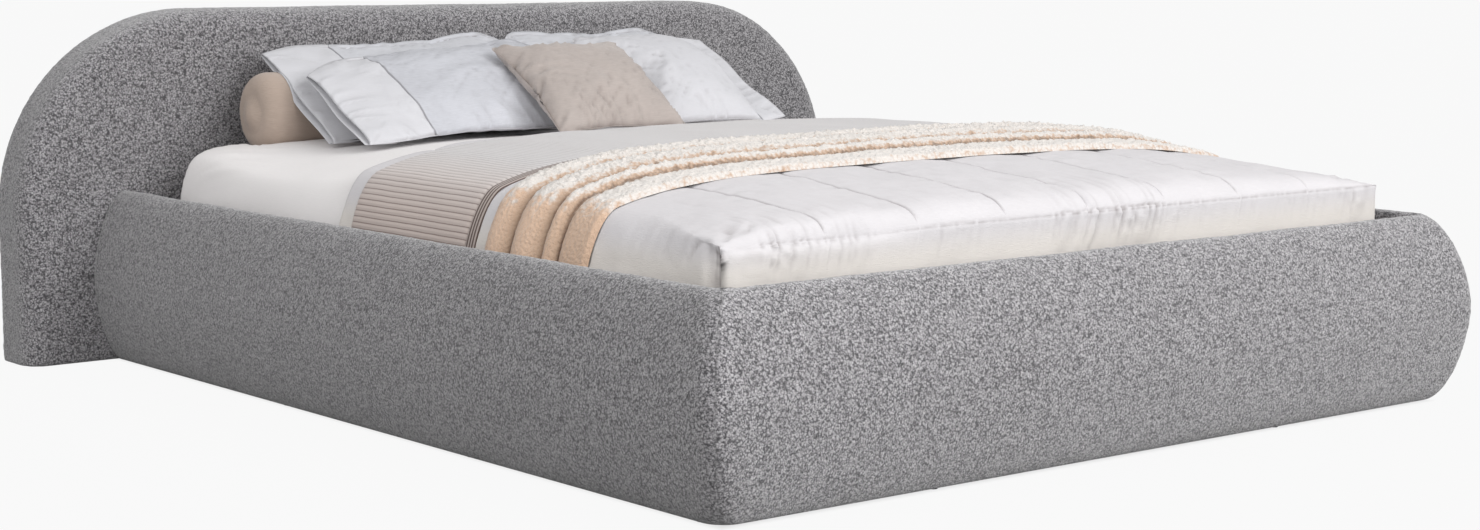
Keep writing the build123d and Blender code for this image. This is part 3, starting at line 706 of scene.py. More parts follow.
def makeQuilt():
    finish = clothWeave("paleQuiltCotton", quilt["colour"], 0.06, weavePerMetre=620, bump=0.0012, sheen=0.05,
                        tint=(quilt["hemColour"], *quilt["hemFade"]))
    foot, pitch, count = crown["foot"] - quilt["footDrop"], quilt["pitch"], quilt["channels"]
    rows = steps(foot + 0.019, quilt["head"], quilt["mesh"])
    rows = np.concatenate([foot + np.array([0, 0.0015, 0.004, 0.008, 0.013]), rows])
    lines = [(number - (count - 1) / 2) * pitch for number in range(count)]
    piece = bedCover("channelQuilt", finish, rows, quilt["side"], quilt["footDrop"], quilt["rise"],
                     quilt["hem"], innerSteps(quilt["mesh"], lines), headRound=False)
    points, normals = pointsOf(piece), normalsOf(piece)
    x, y, z = points.T
    half, rim = crown["half"] + quilt["side"], crown["sideTop"] + quilt["rise"]
    fromFoot, fromSide = y - foot, half - np.abs(x)
    wall = fromFoot < 0.0008
    flat = ~wall
    level = np.clip((z - 0.40) / 0.06, 0, 1)
    # channels and the puff between them
    lane = x / pitch
    fromLine = np.abs(lane - np.round(lane)) * pitch
    sewn = np.abs(np.round(lane)) <= (count - 1) / 2
    puff = np.where(sewn, 1 - (1 - np.clip(fromLine / (pitch / 2), 0, 1)) ** 3.0, 1)
    groove = np.where(sewn, bell(fromLine, quilt["grooveWidth"]), 0)
    fade = smoothStep(fromFoot / 0.12) * level * np.clip(fromSide / 0.09, 0, 1)
    sunk = quilt["groove"] * groove * level * smoothStep(fromFoot / 0.02)
    lift = np.where(flat, quilt["puff"] * (puff - 0.6) * fade - sunk, 0)
    # gathers across the foot edge: over the last of the top and on down the drop, in bunches
    drop = np.where(wall, rim - z, 0)
    spread = x + 0.30 * np.minimum(fromFoot, 0.25) * noiseOn(x, 0, 0, 0.3, 18) + 0.25 * drop
    coarse, fine = quilt["folds"]
    gathers = (1 - np.abs(noiseOn(spread, 0, 0, coarse, 11))) ** 4
    gathers += 0.5 * (1 - np.abs(noiseOn(spread, 0, 0, fine, 12))) ** 3
    bunch = np.clip(0.50 + 0.9 * noiseOn(spread, 0, 0, quilt["bunches"], 13), 0.12, 1)
    bunch *= smoothStep(fromSide / 0.10)
    fromEdge = smoothStep(fromFoot / 0.008 + 0.3) * np.exp(-fromFoot / quilt["gatherRun"])
    strength = np.where(wall, 1.0, fromEdge)
    lift += quilt["gather"] * gathers * bunch * (strength * level ** 0.5)
    # soft rumples on top, fuller where no throw lies on it
    large, small = quilt["rumple"]
    rumple = noiseOn(x, y * 0.45, z, 0.085, 15) * large + noiseOn(x, y * 0.6, z, 0.028, 16) * small
    rumple *= 1 + quilt["openRumple"] * smoothStep((quilt["openFrom"] - y) / 0.06)
    lift += np.where(flat, rumple * level * np.clip(fromFoot / 0.03, 0, 1), 0)
    # short puckers that run out from the sewn lines
    pucker = noiseOn(x * 0.30, y, 0, 0.019, 23) * np.exp(-fromLine / quilt["puckerReach"])
    lift += quilt["pucker"] * np.where(flat, pucker * level * np.clip(fromFoot / 0.05, 0, 1), 0)
    # side drop: slack cloth pulled down into the frame
    side = np.where(flat & (z < rim), 1, 0) * smoothStep((rim - z) / 0.05)
    slack = noiseOn(x, y, z * 1.6, 0.06, 17) + 0.5 * noiseOn(x, y * 0.8, z * 2.4, 0.022, 20)
    lift += side * quilt["slack"] * slack
    # sewn line along the foot edge of the top, which is lost near the left corner
    shown = smoothStep((x + 0.62) / 0.25)
    lift -= quilt["seam"] * shown * bell(z - rim, quilt["seamWidth"]) * (fromFoot < 0.006)
    # the tucked corner: its folds, a hollow beside the edge, and the pinched edge itself
    for start, end, width, depth in cornerFolds:
        lift += np.where(flat, depth * nearStroke(fromSide, fromFoot, start, end, width), 0)
    beside = flat & (fromSide < 0.03) & (z < rim + 0.004)
    hollow = quilt["pinch"] * bell(fromFoot - 0.021, 0.016) * smoothStep((rim + 0.004 - z) / 0.02)
    lift -= np.where(beside, hollow, 0)
    lift += np.where(wall, 0.003 * bell(fromSide - 0.004, 0.012), 0)
    points = points + normals * lift[:, None]
    # towards the left corner the edge is a soft bend, with no sewn line
    bend = quilt["bend"]
    onTop, onWall = np.clip(1 - fromFoot / bend, 0, 1) * flat, np.clip(1 - drop / bend, 0, 1) * wall
    turnTop, turnWall = onTop * math.pi / 4, onWall * math.pi / 4
    ease = (1 - shown) * level
    points[:, 1] += ease * np.where(wall, bend * (1 - np.cos(turnWall)), bend * (onTop - np.sin(turnTop)))
    points[:, 2] -= ease * np.where(wall, bend * (onWall - np.sin(turnWall)), bend * (1 - np.cos(turnTop)))
    setPoints(piece, points)
    # painted shade in the pinch, and thread in the sewn lines and along the foot edge, widened with painted
    # shade of their grooves
    shade = np.where(beside, bell(fromFoot, 0.030) * smoothStep((rim - 0.004 - z) / 0.012), 0)
    shade = quilt["pinchShade"] * shade
    shade *= 0.7 + 0.5 * softNoise(points, 0.008, 22)
    threadAndShade = bell(fromLine, quilt["threadAndShadeWidth"]) * level * smoothStep(fromFoot / 0.06)
    threadAndShade = np.where(flat & sewn, threadAndShade, 0)
    threadAndShade += quilt["edgeThreadAndShade"] * shown * bell(z - rim, quilt["edgeWidth"]) * (fromFoot < 0.006)
    return piece, shade + quilt["threadAndShade"] * threadAndShade


def rollHeadEdge(piece, depth):
    # turns the quilt's head edge down onto the sheet
    work = bmesh.new()
    work.from_mesh(piece.data)
    edge = [e for e in work.edges if e.is_boundary and min(v.co.y for v in e.verts) > quilt["head"] - 0.002]
    for share, along in ((0.25, 0.0045), (0.4, 0.0025), (0.35, -0.001)):
        grown = bmesh.ops.extrude_edge_only(work, edges=edge)["geom"]
        edge = [e for e in grown if isinstance(e, bmesh.types.BMEdge)]
        for vert in [v for v in grown if isinstance(v, bmesh.types.BMVert)]:
            drop = min(1.0, abs(vert.co.x) / crown["half"]) ** 12
            side = -1 if vert.co.x > 0 else 1
            vert.co += Vector((side * depth * share * drop * 0.9, along, -depth * share * (1 - drop)))
    work.to_mesh(piece.data)
    work.free()
    shadeSmooth(piece.data)
    fixNormals(piece)


quiltPiece, pinchShade = makeQuilt()
rollHeadEdge(quiltPiece, quilt["headRoll"])
markFoldShade(quiltPiece, 3.2, pinchShade)
place(quiltPiece, "mattress_and_bedding", "quilt_cotton", "quilt")
print("bed: quilt,", len(quiltPiece.data.vertices), "points")


# bands across the bed: the runner, its striped border and the throw

def bandPiece(name, material, offset, rise, hem, ys, size, relief, nap=None):
    # it carries two maps: cloth=(run across, place along), and nap=(valley, top) if that is given
    grid = coverGrid(ys, offset, quilt["footDrop"], rise, hem, innerSteps(size))
    fine = [grid[:, 0:1]]
    for column in range(grid.shape[1] - 1):
        here, there = grid[:, column:column + 1], grid[:, column + 1:column + 2]
        parts = max(1, int(math.ceil(np.linalg.norm(there[0, 0] - here[0, 0]) / size)))
        fine += [here * (1 - part / parts) + there * (part / parts) for part in range(1, parts + 1)]
    grid = np.concatenate(fine, axis=1)
    gap = np.linalg.norm(np.diff(grid, axis=1), axis=-1)
    run = np.concatenate([np.zeros((len(ys), 1)), np.cumsum(gap, axis=1)], axis=1)
    run -= run[:, -1:] / 2
    along = grid[..., 1]
    grid = grid + outward(grid) * relief(run, along)[..., None]
    piece = meshObject(name, grid.reshape(-1, 3), gridFaces(*grid.shape[:2]), material)
    loops = np.zeros(len(piece.data.loops), dtype=np.int64)
    piece.data.loops.foreach_get("vertex_index", loops)
    maps = {"cloth": np.stack([run, along], -1)}
    if nap is not None:
        maps["nap"] = nap(run, along)
    for label, values in maps.items():
        layer = piece.data.uv_layers.new(name=label)
        layer.data.foreach_set("uv", values.reshape(-1, 2)[loops].ravel())
    fixNormals(piece)
    return piece


def edgeShare(along, foot, head, reach):
    # 0 at the two long edges of a band, 1 further in
    return np.clip(np.minimum(along - foot, head - along) / reach, 0, 1)


def mapNode(tree, label):
    return splitNode(tree, addNode(tree, "UVMap", uv_map=label).outputs["UV"])


# the top colours are paler and greyer than the drops: painted sheen
runner = {"foot": -0.288, "head": 0.150, "offset": 0.0119, "rise": 0.0249, "hem": 0.310, "mesh": 0.0031,
          "rows": 0.014, "rib": 0.0125, "ribHeight": 0.0016, "wave": 0.0012, "lift": 0.001, "edge": 0.006,
          "edgeDrop": 0.003, "pale": (0.555, 0.475, 0.440), "line": (0.26, 0.205, 0.185),
          "sheenTopPale": (0.60, 0.580, 0.580), "sheenTopLine": (0.36, 0.335, 0.33), "topRun": (0.70, 0.92)}


def runnerRelief(run, along):
    phase = np.abs(run / runner["rib"] - np.round(run / runner["rib"])) * 2
    rib = 1 - (1 - phase) ** 4
    edge = edgeShare(along, runner["foot"], runner["head"], runner["edge"])
    wave = noiseOn(run, along, 0, 0.09, 21) * runner["wave"]
    return runner["ribHeight"] * (rib - 1) + wave - runner["edgeDrop"] * (1 - edge) + runner["lift"]


def ribbedMaterial():
    # thin dark lines between the ribs; the top gets a paler, greyer copy of the colours than the drops:
    # painted sheen
    pale, sheenTopPale = runner["pale"], runner["sheenTopPale"]
    mat, tree, coords = newMaterial("taupeRibKnit", rough=0.88, colour=pale, sheen=0.25)
    run = mapNode(tree, "cloth")["X"]
    grain, wobble = noiseNode(tree, coords, 480, 3), noiseNode(tree, coords, 14)
    bent = mathNode(tree, "MULTIPLY_ADD", wobble, 0.002, run)
    rib = mathNode(tree, "PINGPONG", mathNode(tree, "DIVIDE", bent, runner["rib"]), 0.5)
    onSide = rangeNode(tree, mathNode(tree, "ABSOLUTE", run), *runner["topRun"])
    tone = mathNode(tree, "MULTIPLY_ADD", grain, 0.10, rib)
    side = rampNode(tree, tone, [(0.10, runner["line"]), (0.19, pale), (0.6, scaled(pale, 1.10))])
    top = rampNode(tree, tone, [(0.12, runner["sheenTopLine"]), (0.26, sheenTopPale), (0.6, scaled(sheenTopPale, 1.04))])
    height = mathNode(tree, "MULTIPLY_ADD", grain, 0.6, rib)
    return finished(mat, mixNode(tree, onSide, top, side), height, 0.0012, 0.7)


runnerPlaces = [runner["foot"], runner["foot"] + 0.003,
                *steps(runner["foot"] + 0.008, runner["head"] - 0.008, runner["rows"]),
                runner["head"] - 0.003, runner["head"]]
runnerPiece = bandPiece("ribbedRunner", ribbedMaterial(), runner["offset"], runner["rise"], runner["hem"],
                        np.array(runnerPlaces), runner["mesh"], runnerRelief)
place(runnerPiece, "mattress_and_bedding", "runner_rib", "runner")

border = {"foot": -0.324, "lower": 0.0002, "mesh": 0.008, "rows": 0.004, "lift": 0.0012, "edge": 0.004,
          "edgeDrop": 0.003, "dark": (0.11, 0.075, 0.065), "pale": (0.45, 0.39, 0.36), "stripes": 4}


def stripeMaterial():
    dark, pale = border["dark"], border["pale"]
    mat, tree, coords = newMaterial("brownStripeWeave", rough=0.85, colour=dark, sheen=0.2)
    fromFoot = mathNode(tree, "SUBTRACT", mapNode(tree, "cloth")["Y"], border["foot"])
    along = mathNode(tree, "DIVIDE", fromFoot, runner["foot"] - border["foot"])
    lines = mathNode(tree, "PINGPONG", mathNode(tree, "MULTIPLY", along, border["stripes"]), 0.5)
    tone = mathNode(tree, "MULTIPLY_ADD", noiseNode(tree, coords, 420), 0.12, lines)
    stripes = rampNode(tree, tone, [(0.26, dark), (0.40, pale), (0.6, scaled(pale, 1.1))])
    return finished(mat, stripes, tone, 0.0012, 0.7)


def borderRelief(run, along):
    edge = edgeShare(along, border["foot"], runner["foot"], border["edge"])
    return border["lift"] - border["edgeDrop"] * (1 - edge)


borderPlaces = [border["foot"], *steps(border["foot"] + 0.003, runner["foot"] - 0.0005, border["rows"])]
borderPiece = bandPiece("stripedBorder", stripeMaterial(), runner["offset"] - border["lower"], runner["rise"],
                        runner["hem"], np.array(borderPlaces), border["mesh"], borderRelief)
place(borderPiece, "mattress_and_bedding", "border_stripe", "runner_border")
print("bed: runner and border")

# throw: plush, gathered in four ridges; smooth pile on its sides and loose tufts on its top

# deep is painted shade for the bottom of the valleys; valleys gives how much the cream tips give way there to
# tan ground and painted shade
throw = {"head": -0.372, "ridges": (0.085, 0.105, 0.050, 0.091), "valleys": (0.20, 0.80, 0.95, 1.0, 0.40),
         "lastHigh": 0.34, "thick": 0.006, "ridge": 0.024, "sideShare": 0.85, "offset": 0.0119,
         "rise": 0.0212, "hem": 0.310, "mesh": 0.0040, "wander": 0.012, "bend": 0.0018, "tuft": 0.0060,
         "tuftSize": 0.010, "fuzz": 0.0007, "edge": 0.006, "topRun": 0.85, "topFade": 0.20,
         "cream": (0.745, 0.698, 0.655), "tan": (0.64, 0.45, 0.325), "deep": (0.15, 0.085, 0.052)}
throw["wide"] = sum(throw["ridges"])
throw["foot"] = throw["head"] - throw["wide"]


def ridgeShape(along):
    # how high the throw stands at a place along the bed, and how much of its cream tips shows there on top
    edge, height, cream = throw["head"], np.zeros_like(along), np.zeros_like(along)
    for index, width in enumerate(throw["ridges"]):
        part = np.clip((edge - along) / width, 0, 1)
        if index == len(throw["ridges"]) - 1:
            bow = throw["lastHigh"] * np.clip(part / 0.22, 0, 1) ** 0.5
            bow *= np.clip((1 - part) / 0.05, 0, 1) ** 0.5
        else:
            bow = np.sin(part * math.pi) ** 0.55 * (0.55 + 0.45 * width / max(throw["ridges"]))
        dip = (throw["valleys"][index] * np.clip(1 - part * 2, 0, 1) ** 2.5
               + throw["valleys"][index + 1] * np.clip(part * 2 - 1, 0, 1) ** 1.6)
        inside = (part > 0) & (part < 1)
        height, cream = np.where(inside, bow, height), np.where(inside, 1 - dip, cream)
        edge -= width
    return height, cream


def throwTop(run):
    return smoothStep((throw["topRun"] + throw["topFade"] / 2 - np.abs(run)) / throw["topFade"])


def bentAlong(run, along):
    # the ridges wander a little as they cross the bed, except at their ends
    middle = throw["head"] - throw["wide"] / 2
    share = np.clip(1 - np.abs(along - middle) / (throw["wide"] / 2), 0, 1)
    return along + noiseOn(run, 0, 0, 0.35, 30) * throw["wander"] * share


def throwRelief(run, along):
    height, top, size = ridgeShape(bentAlong(run, along))[0], throwTop(run), throw["tuftSize"]
    bend = noiseOn(run, along, 0, 0.12, 31) * throw["bend"]
    tufts = np.abs(noiseOn(run, along, 0, size, 32)) + 0.7 * np.abs(noiseOn(run, along, 0, size * 0.45, 33))
    pile = (tufts - 0.5) * throw["tuft"] * top * (0.55 + 0.45 * height)
    pile += noiseOn(run, along, 0, 0.005, 34) * throw["fuzz"]
    ends = edgeShare(along, throw["foot"], throw["head"], throw["edge"])
    crest = throw["ridge"] * height * (throw["sideShare"] + (1 - throw["sideShare"]) * top)
    return (throw["thick"] + crest + bend) * (0.3 + 0.7 * ends) + pile * ends


def throwNap(run, along):
    bent, top = bentAlong(run, along), throwTop(run)
    height, cream = ridgeShape(bent)
    band = smoothStep((throw["head"] - sum(throw["ridges"][:3]) - bent) / throw["edge"])
    side = np.maximum(height, 0.62 * band)
    return np.stack([side * (1 - top) + cream * top, top + 0.35 * (height - 0.6) * (1 - band)], -1)


def plushMaterial():
    # tan ground at the sides and in the valleys, cream tips on top; darker brown in the valleys and paler tan
    # on the crests are painted shade and highlight
    tan, cream = throw["tan"], throw["cream"]
    mat, tree, coords = newMaterial("creamPlush", rough=1.0, colour=cream, sheen=0.5)
    nap = mapNode(tree, "nap")
    pile, clumps = noiseNode(tree, coords, 300, 4, 0.6), noiseNode(tree, coords, 55, 3)
    tufts = addNode(tree, "TexVoronoi", {"Vector": coords, "Scale": 120}).outputs["Distance"]
    ridge = mathNode(tree, "MULTIPLY_ADD", pile, 0.10, nap["X"])
    # on the sides the colour follows the ridge height: painted shade in the valleys, painted highlight on the
    # crests
    stops = [(0.16, throw["deep"]), (0.38, scaled(tan, 0.78)), (0.64, tan), (1.0, scaled(tan, 1.25))]
    side = rampNode(tree, ridge, stops)
    loose = mathNode(tree, "MULTIPLY_ADD", tufts, -0.45, mathNode(tree, "MULTIPLY_ADD", clumps, 0.5, ridge))
    stops = [(0.16, scaled(tan, 0.42)), (0.46, scaled(tan, 0.9)), (0.74, cream), (0.98, scaled(cream, 1.05))]
    top = rampNode(tree, loose, stops)
    where = mathNode(tree, "MULTIPLY_ADD", clumps, 0.9, mathNode(tree, "SUBTRACT", nap["Y"], 0.45))
    mixed = mixNode(tree, rangeNode(tree, where, 0.38, 0.62), side, top)
    return finished(mat, mixed, mathNode(tree, "SUBTRACT", pile, tufts), 0.004, 0.7)


throwPlaces = steps(throw["foot"], throw["head"], throw["mesh"])
throwPiece = bandPiece("plushThrow", plushMaterial(), throw["offset"], throw["rise"], throw["hem"],
                       throwPlaces, throw["mesh"], throwRelief, throwNap)
place(throwPiece, "mattress_and_bedding", "throw_plush", "throw_blanket")
print("bed: throw,", len(throwPiece.data.vertices), "points")

# bolster: a firm roll against the headboard, its ends drawn to a small gather

roll = {"start": -0.720, "end": 0.180, "axisY": 0.905, "radius": 0.098, "round": 0.046, "dome": 0.014,
        "pleats": 34, "pleatHeight": 0.0022, "pleatFrom": 0.12, "pleatFade": (0.012, 0.035),
        "mesh": 0.012, "sides": 96, "crease": 0.0009, "wave": 0.0013,
        "sink": 0.0012, "colour": (0.478, 0.382, 0.320)}
roll["axisZ"] = bolsterSeat["height"]
linenMaterial = clothWeave("taupeLinen", roll["colour"], 0.16, weavePerMetre=560, bump=0.0012, sheen=0.25)


def makeBolster():
    # half a profile from the middle of one end: domed end, rounded edge, straight side; then the other half
    full, edge, stations, radii = roll["radius"], roll["round"], [], []
    for share in np.linspace(0.04, 1, 16):
        stations.append(-roll["dome"] * (1 - share ** 2) ** 2)
        radii.append((full - edge) * share)
    for angle in np.linspace(0, math.pi / 2, 10)[1:]:
        stations.append(edge * (1 - math.cos(angle)))
        radii.append(full - edge + edge * math.sin(angle))
    length = roll["end"] - roll["start"]
    middle = steps(edge, length - edge, roll["mesh"])[1:-1]
    stations = np.array(stations + list(middle) + [length - s for s in stations[::-1]])
    radii = np.array(radii + [full] * len(middle) + radii[::-1])
    angles = np.linspace(0, 2 * math.pi, roll["sides"] + 1)[:-1]
    fold = 0.5 + 0.5 * np.sin(angles * roll["pleats"] + 1.5 * np.sin(angles * 5))
    rings = []
    for station, radius in zip(stations, radii):
        out = min(station, length - station)
        spread = np.clip((radius / full - roll["pleatFrom"]) * 2.2, 0, 1)
        spread *= np.clip(1 - (out - roll["pleatFade"][0]) / roll["pleatFade"][1], 0, 1)
        swell = radius - roll["pleatHeight"] * spread * fold ** 2
        y, z = roll["axisY"] + swell * np.cos(angles), roll["axisZ"] + swell * np.sin(angles)
        rings.append(np.stack([np.full_like(angles, roll["start"] + station), y, z], 1))
    faces = gridFaces(len(rings), roll["sides"], closeColumns=True)
    for first in (0, (len(rings) - 1) * roll["sides"]):
        faces.append(tuple(range(first, first + roll["sides"])))
    piece = meshObject("taupeBolster", np.concatenate(rings), faces, linenMaterial)
    fixNormals(piece)
    points = pointsOf(piece)
    x, y, z = points.T
    creases = noiseOn(x * 0.35, y, z, 0.035, 41) * roll["crease"] + softNoise(points, 0.11, 42) * roll["wave"]
    pushOut(piece, points, normalsOf(piece), creases - roll["sink"])
    return piece


bolsterPiece = makeBolster()
markFoldShade(bolsterPiece, 2.0)
place(bolsterPiece, "bolster_roll", "bolster_cotton", "bolster")
print("bed: bolster")

# pillows: each case is sewn flat, blown up as a bag and then leant where its solid leans

bag = {"cell": 0.013, "frames": 20, "pressure": 4.5, "mass": 0.25, "stretch": 22, "bend": 0.35,
       "fine": 0.0065, "gap": 0.0012, "thin": 0.004, "blurs": 10, "start": 0.008, "ripple": 0.0012,
       "weld": 0.0004}
# the flat ends of the cases: a cuff on the left, a stitched band on the right
cuff = {"reach": 0.27, "rise": (0.55, 0.45), "riseRun": 0.20, "lips": (0.010, -0.007), "sag": 0.003,
        "slip": 0.010}
flange = {"reach": 0.21, "rise": (0.12, 0.88), "skin": 0.0016, "wave": 0.006, "draw": 0.10}
# rings of the hem inside an open end: how far in, and how wide
hemRings = ((0.0015, 0.93), (0.012, 0.80), (0.045, 0.70), (0.075, 0.35))
# what most pillows share: depth below, corners, how boxy it is, how much of the blown form it takes, its
# creases, how far the blown form draws its edges in, how its left end hangs, and where its seams are
pillowBase = {"under": 0.034, "corner": 0.055, "boxy": 2.6, "slack": 0.3, "wrinkle": 0.8, "crease": 0.008,
              "creaseReach": 0.07, "draw": 0.3, "droop": 0.0, "sink": 0.0, "seams": [], "groove": 0.0042,
              "grooveWidth": 0.0030, "threadAndShade": 0.0045, "rumple": 0.0035, "beyond": 0, "open": False,
              "shape": None}


def evenPlaces(size):
    return np.linspace(-size / 2, size / 2, int(round(size / bag["cell"])) + 1)


def flatCase(width, length, cornerRound):
    # plan of the case as a grid, its corners drawn onto circles
    x, y = np.meshgrid(evenPlaces(width), evenPlaces(length), indexing="ij")
    return roundCorner(x, y, width / 2, -length / 2, length / 2, cornerRound)


def blurred(grid, times):
    for _ in range(times):
        wide = np.pad(grid, 1, mode="edge")
        grid = (wide[:-2, 1:-1] + wide[2:, 1:-1] + wide[1:-1, :-2] + wide[1:-1, 2:] + grid) / 5
    return grid


def blownBag(name, width, length, cornerRound, seed):
    # the flat case, and the upper and lower face that air gives it, as grids of points round its middle
    x, y = flatCase(width, length, cornerRound)
    columns, rows = x.shape
    a, b = np.meshgrid(np.linspace(-1, 1, columns), np.linspace(-1, 1, rows), indexing="ij")
    belly = bag["start"] * np.clip((1 - np.abs(a) ** 2.4) * (1 - np.abs(b) ** 2.4), 0, 1) ** 0.6
    ripple = np.random.default_rng(seed).uniform(-1, 1, x.shape) * bag["ripple"]
    inner = np.zeros(x.shape, dtype=bool)
    inner[1:-1, 1:-1] = True
    top = np.arange(columns * rows).reshape(columns, rows)
    under = top.copy()
    under[inner] = columns * rows + np.arange(inner.sum())
    upper = np.stack([x, y, (belly + ripple) * inner], -1)
    lower = np.stack([x, y, (-belly + ripple) * inner], -1)
    faces = []
    for i in range(columns - 1):
        for j in range(rows - 1):
            faces.append((top[i, j], top[i + 1, j], top[i + 1, j + 1], top[i, j + 1]))
            faces.append((under[i, j], under[i, j + 1], under[i + 1, j + 1], under[i + 1, j]))
    points = np.concatenate([upper.reshape(-1, 3), lower[inner]])
    case = meshObject(name + "Bag", points, faces, linenMaterial)
    cloth = case.modifiers.new("fill", "CLOTH")
    settings = {"quality": 6, "mass": bag["mass"], "tension_stiffness": bag["stretch"],
                "compression_stiffness": bag["stretch"] * 0.4, "shear_stiffness": bag["stretch"] * 0.5,
                "bending_stiffness": bag["bend"], "use_pressure": True,
                "uniform_pressure_force": bag["pressure"]}
    for key, value in settings.items():
        setattr(cloth.settings, key, value)
    cloth.settings.effector_weights.gravity = 0
    cloth.collision_settings.use_collision = False
    for number in range(1, bag["frames"] + 1):
        bpy.context.scene.frame_set(number)
    applyModifiers(case)
    done = pointsOf(case)
    bpy.data.objects.remove(case, do_unlink=True)
    bpy.context.scene.frame_set(1)
    return done[top], done[under]


def finer(grid, places):
    # smooth reading of a grid of points between its rows
    index = np.clip(np.floor(places).astype(int), 0, len(grid) - 2)
    t = (places - index)[:, None, None]
    p0, p1, p2, p3 = (grid[np.clip(index + step, 0, len(grid) - 1)] for step in (-1, 0, 1, 2))
    square, cube = 2 * p0 - 5 * p1 + 4 * p2 - p3, 3 * p1 - p0 - 3 * p2 + p3
    return 0.5 * (2 * p1 + (p2 - p0) * t + square * t ** 2 + cube * t ** 3)


def surfaceAbove(pieces, points, normal, reach=0.4):
    # how far in front of each point the pieces behind it come
    verts, faces = [], []
    for piece in pieces:
        first = len(verts)
        verts.extend(tuple(p) for p in pointsOf(piece))
        faces.extend(tuple(first + v for v in poly.vertices) for poly in piece.data.polygons)
    tree = BVHTree.FromPolygons(verts, faces)
    heights = np.full(len(points), -1.0)
    for index, point in enumerate(points):
        start = point + normal * reach
        hit = tree.ray_cast(Vector(start), Vector(-normal), 2 * reach)[0]
        if hit is not None:
            heights[index] = reach - (Vector(start) - hit).length
    return heights


def pillowForm(name, spec, width, length, fineU, fineV):
    # both faces before it lies on anything: partly a smooth crown and partly the blown bag
    caseX, caseY = flatCase(width, length, spec["corner"])
    a, b = np.meshgrid(np.linspace(-1, 1, len(caseX)), np.linspace(-1, 1, caseX.shape[1]), indexing="ij")
    smooth = np.clip(1 - np.abs(a) ** spec["boxy"], 0, 1) ** 0.75 * np.clip(1 - b ** 2, 0, 1) ** 0.8
    slack = spec["slack"]
    blown = blownBag(name, width, length, spec["corner"], spec["seed"])
    grids = []
    for face, sign, deep in zip(blown, (1, -1), (spec["over"], spec["under"])):
        planX, planY = (face[..., axis] / np.abs(face[..., axis]).max() * size / 2
                        for axis, size in enumerate((width, length)))
        swell = sign * face[..., 2]
        wrinkles = swell - blurred(swell, bag["blurs"])
        full = swell / max(float(swell.max()), 1e-6)
        height = deep * ((1 - slack) * smooth + slack * full) + spec["wrinkle"] * wrinkles
        drawY = spec["draw"] * (0.65 + 0.35 * b)
        grid = np.stack([caseX + (planX - caseX) * spec["draw"] + width / 2,
                         caseY + (planY - caseY) * drawY + length / 2, sign * height], -1)
        grid = finer(grid, fineU * (len(grid) - 1))
        grids.append(finer(grid.transpose(1, 0, 2), fineV * (grid.shape[1] - 1)).transpose(1, 0, 2))
    return grids


def creaseLift(spec, share, across, width, length):
    # creases that run in from the edges, soft rumples, and the groove of a sewn line
    fromEnd, fromSide = np.minimum(share, 1 - share) * width, np.minimum(across, 1 - across) * length
    fromEdge, ends = np.minimum(fromEnd, fromSide), fromEnd < fromSide
    along = np.where(ends, across * length, share * width) + 0.35 * fromEdge
    crease = (1 - np.abs(noiseOn(along, np.where(ends, 3.0, 0.0), fromEdge * 0.14, 0.030, spec["seed"]))) ** 3
    crease *= smoothStep(fromEdge / 0.012) * np.exp(-fromEdge / spec["creaseReach"])
    rumple = noiseOn(share * width, across * length, 0.5, 0.055, spec["seed"] + 9)
    groove = sum(bell((share - seam) * width, spec["grooveWidth"]) for seam in spec["seams"])
    lift = spec["crease"] * crease + spec["rumple"] * rumple * smoothStep(fromEdge / 0.04)
    return lift, spec["groove"] * groove


def clothAt(spec, share):
    # which cloth shows at a place along the pillow; thread is one row of faces beside a seam, darkened as
    # thread and as painted shade of the seam groove
    for seam in spec["seams"]:
        if seam < share < seam + spec["threadAndShade"]:
            return 2
        if share >= seam:
            return spec["beyond"]
    return 0


def pillowFaces(spec, fineU, rows):
    # upper face, lower face, the two long edges and the ends, and which cloth each face shows
    columns = len(fineU)
    top = np.arange(columns * rows).reshape(columns, rows)
    under = top + columns * rows
    cloths = [clothAt(spec, (fineU[i] + fineU[i + 1]) / 2) for i in range(columns - 1)]
    faces, kinds = [], []
    for i, kind in enumerate(cloths):
        for j in range(rows - 1):
            faces.append((top[i, j], top[i + 1, j], top[i + 1, j + 1], top[i, j + 1]))
            faces.append((under[i, j], under[i, j + 1], under[i + 1, j + 1], under[i + 1, j]))
            kinds += [kind, kind]
    for i, kind in enumerate(cloths):
        for j, turn in ((0, 1), (rows - 1, -1)):
            faces.append((top[i, j], under[i, j], under[i + 1, j], top[i + 1, j])[::turn])
            kinds.append(kind)
    for j in range(rows - 1):
        faces.append((top[-1, j], under[-1, j], under[-1, j + 1], top[-1, j + 1]))
        kinds.append(clothAt(spec, 1.0))
        if not spec["open"]:
            faces.append((top[0, j], top[0, j + 1], under[0, j + 1], under[0, j]))
            kinds.append(clothAt(spec, 0.0))
    return faces, kinds


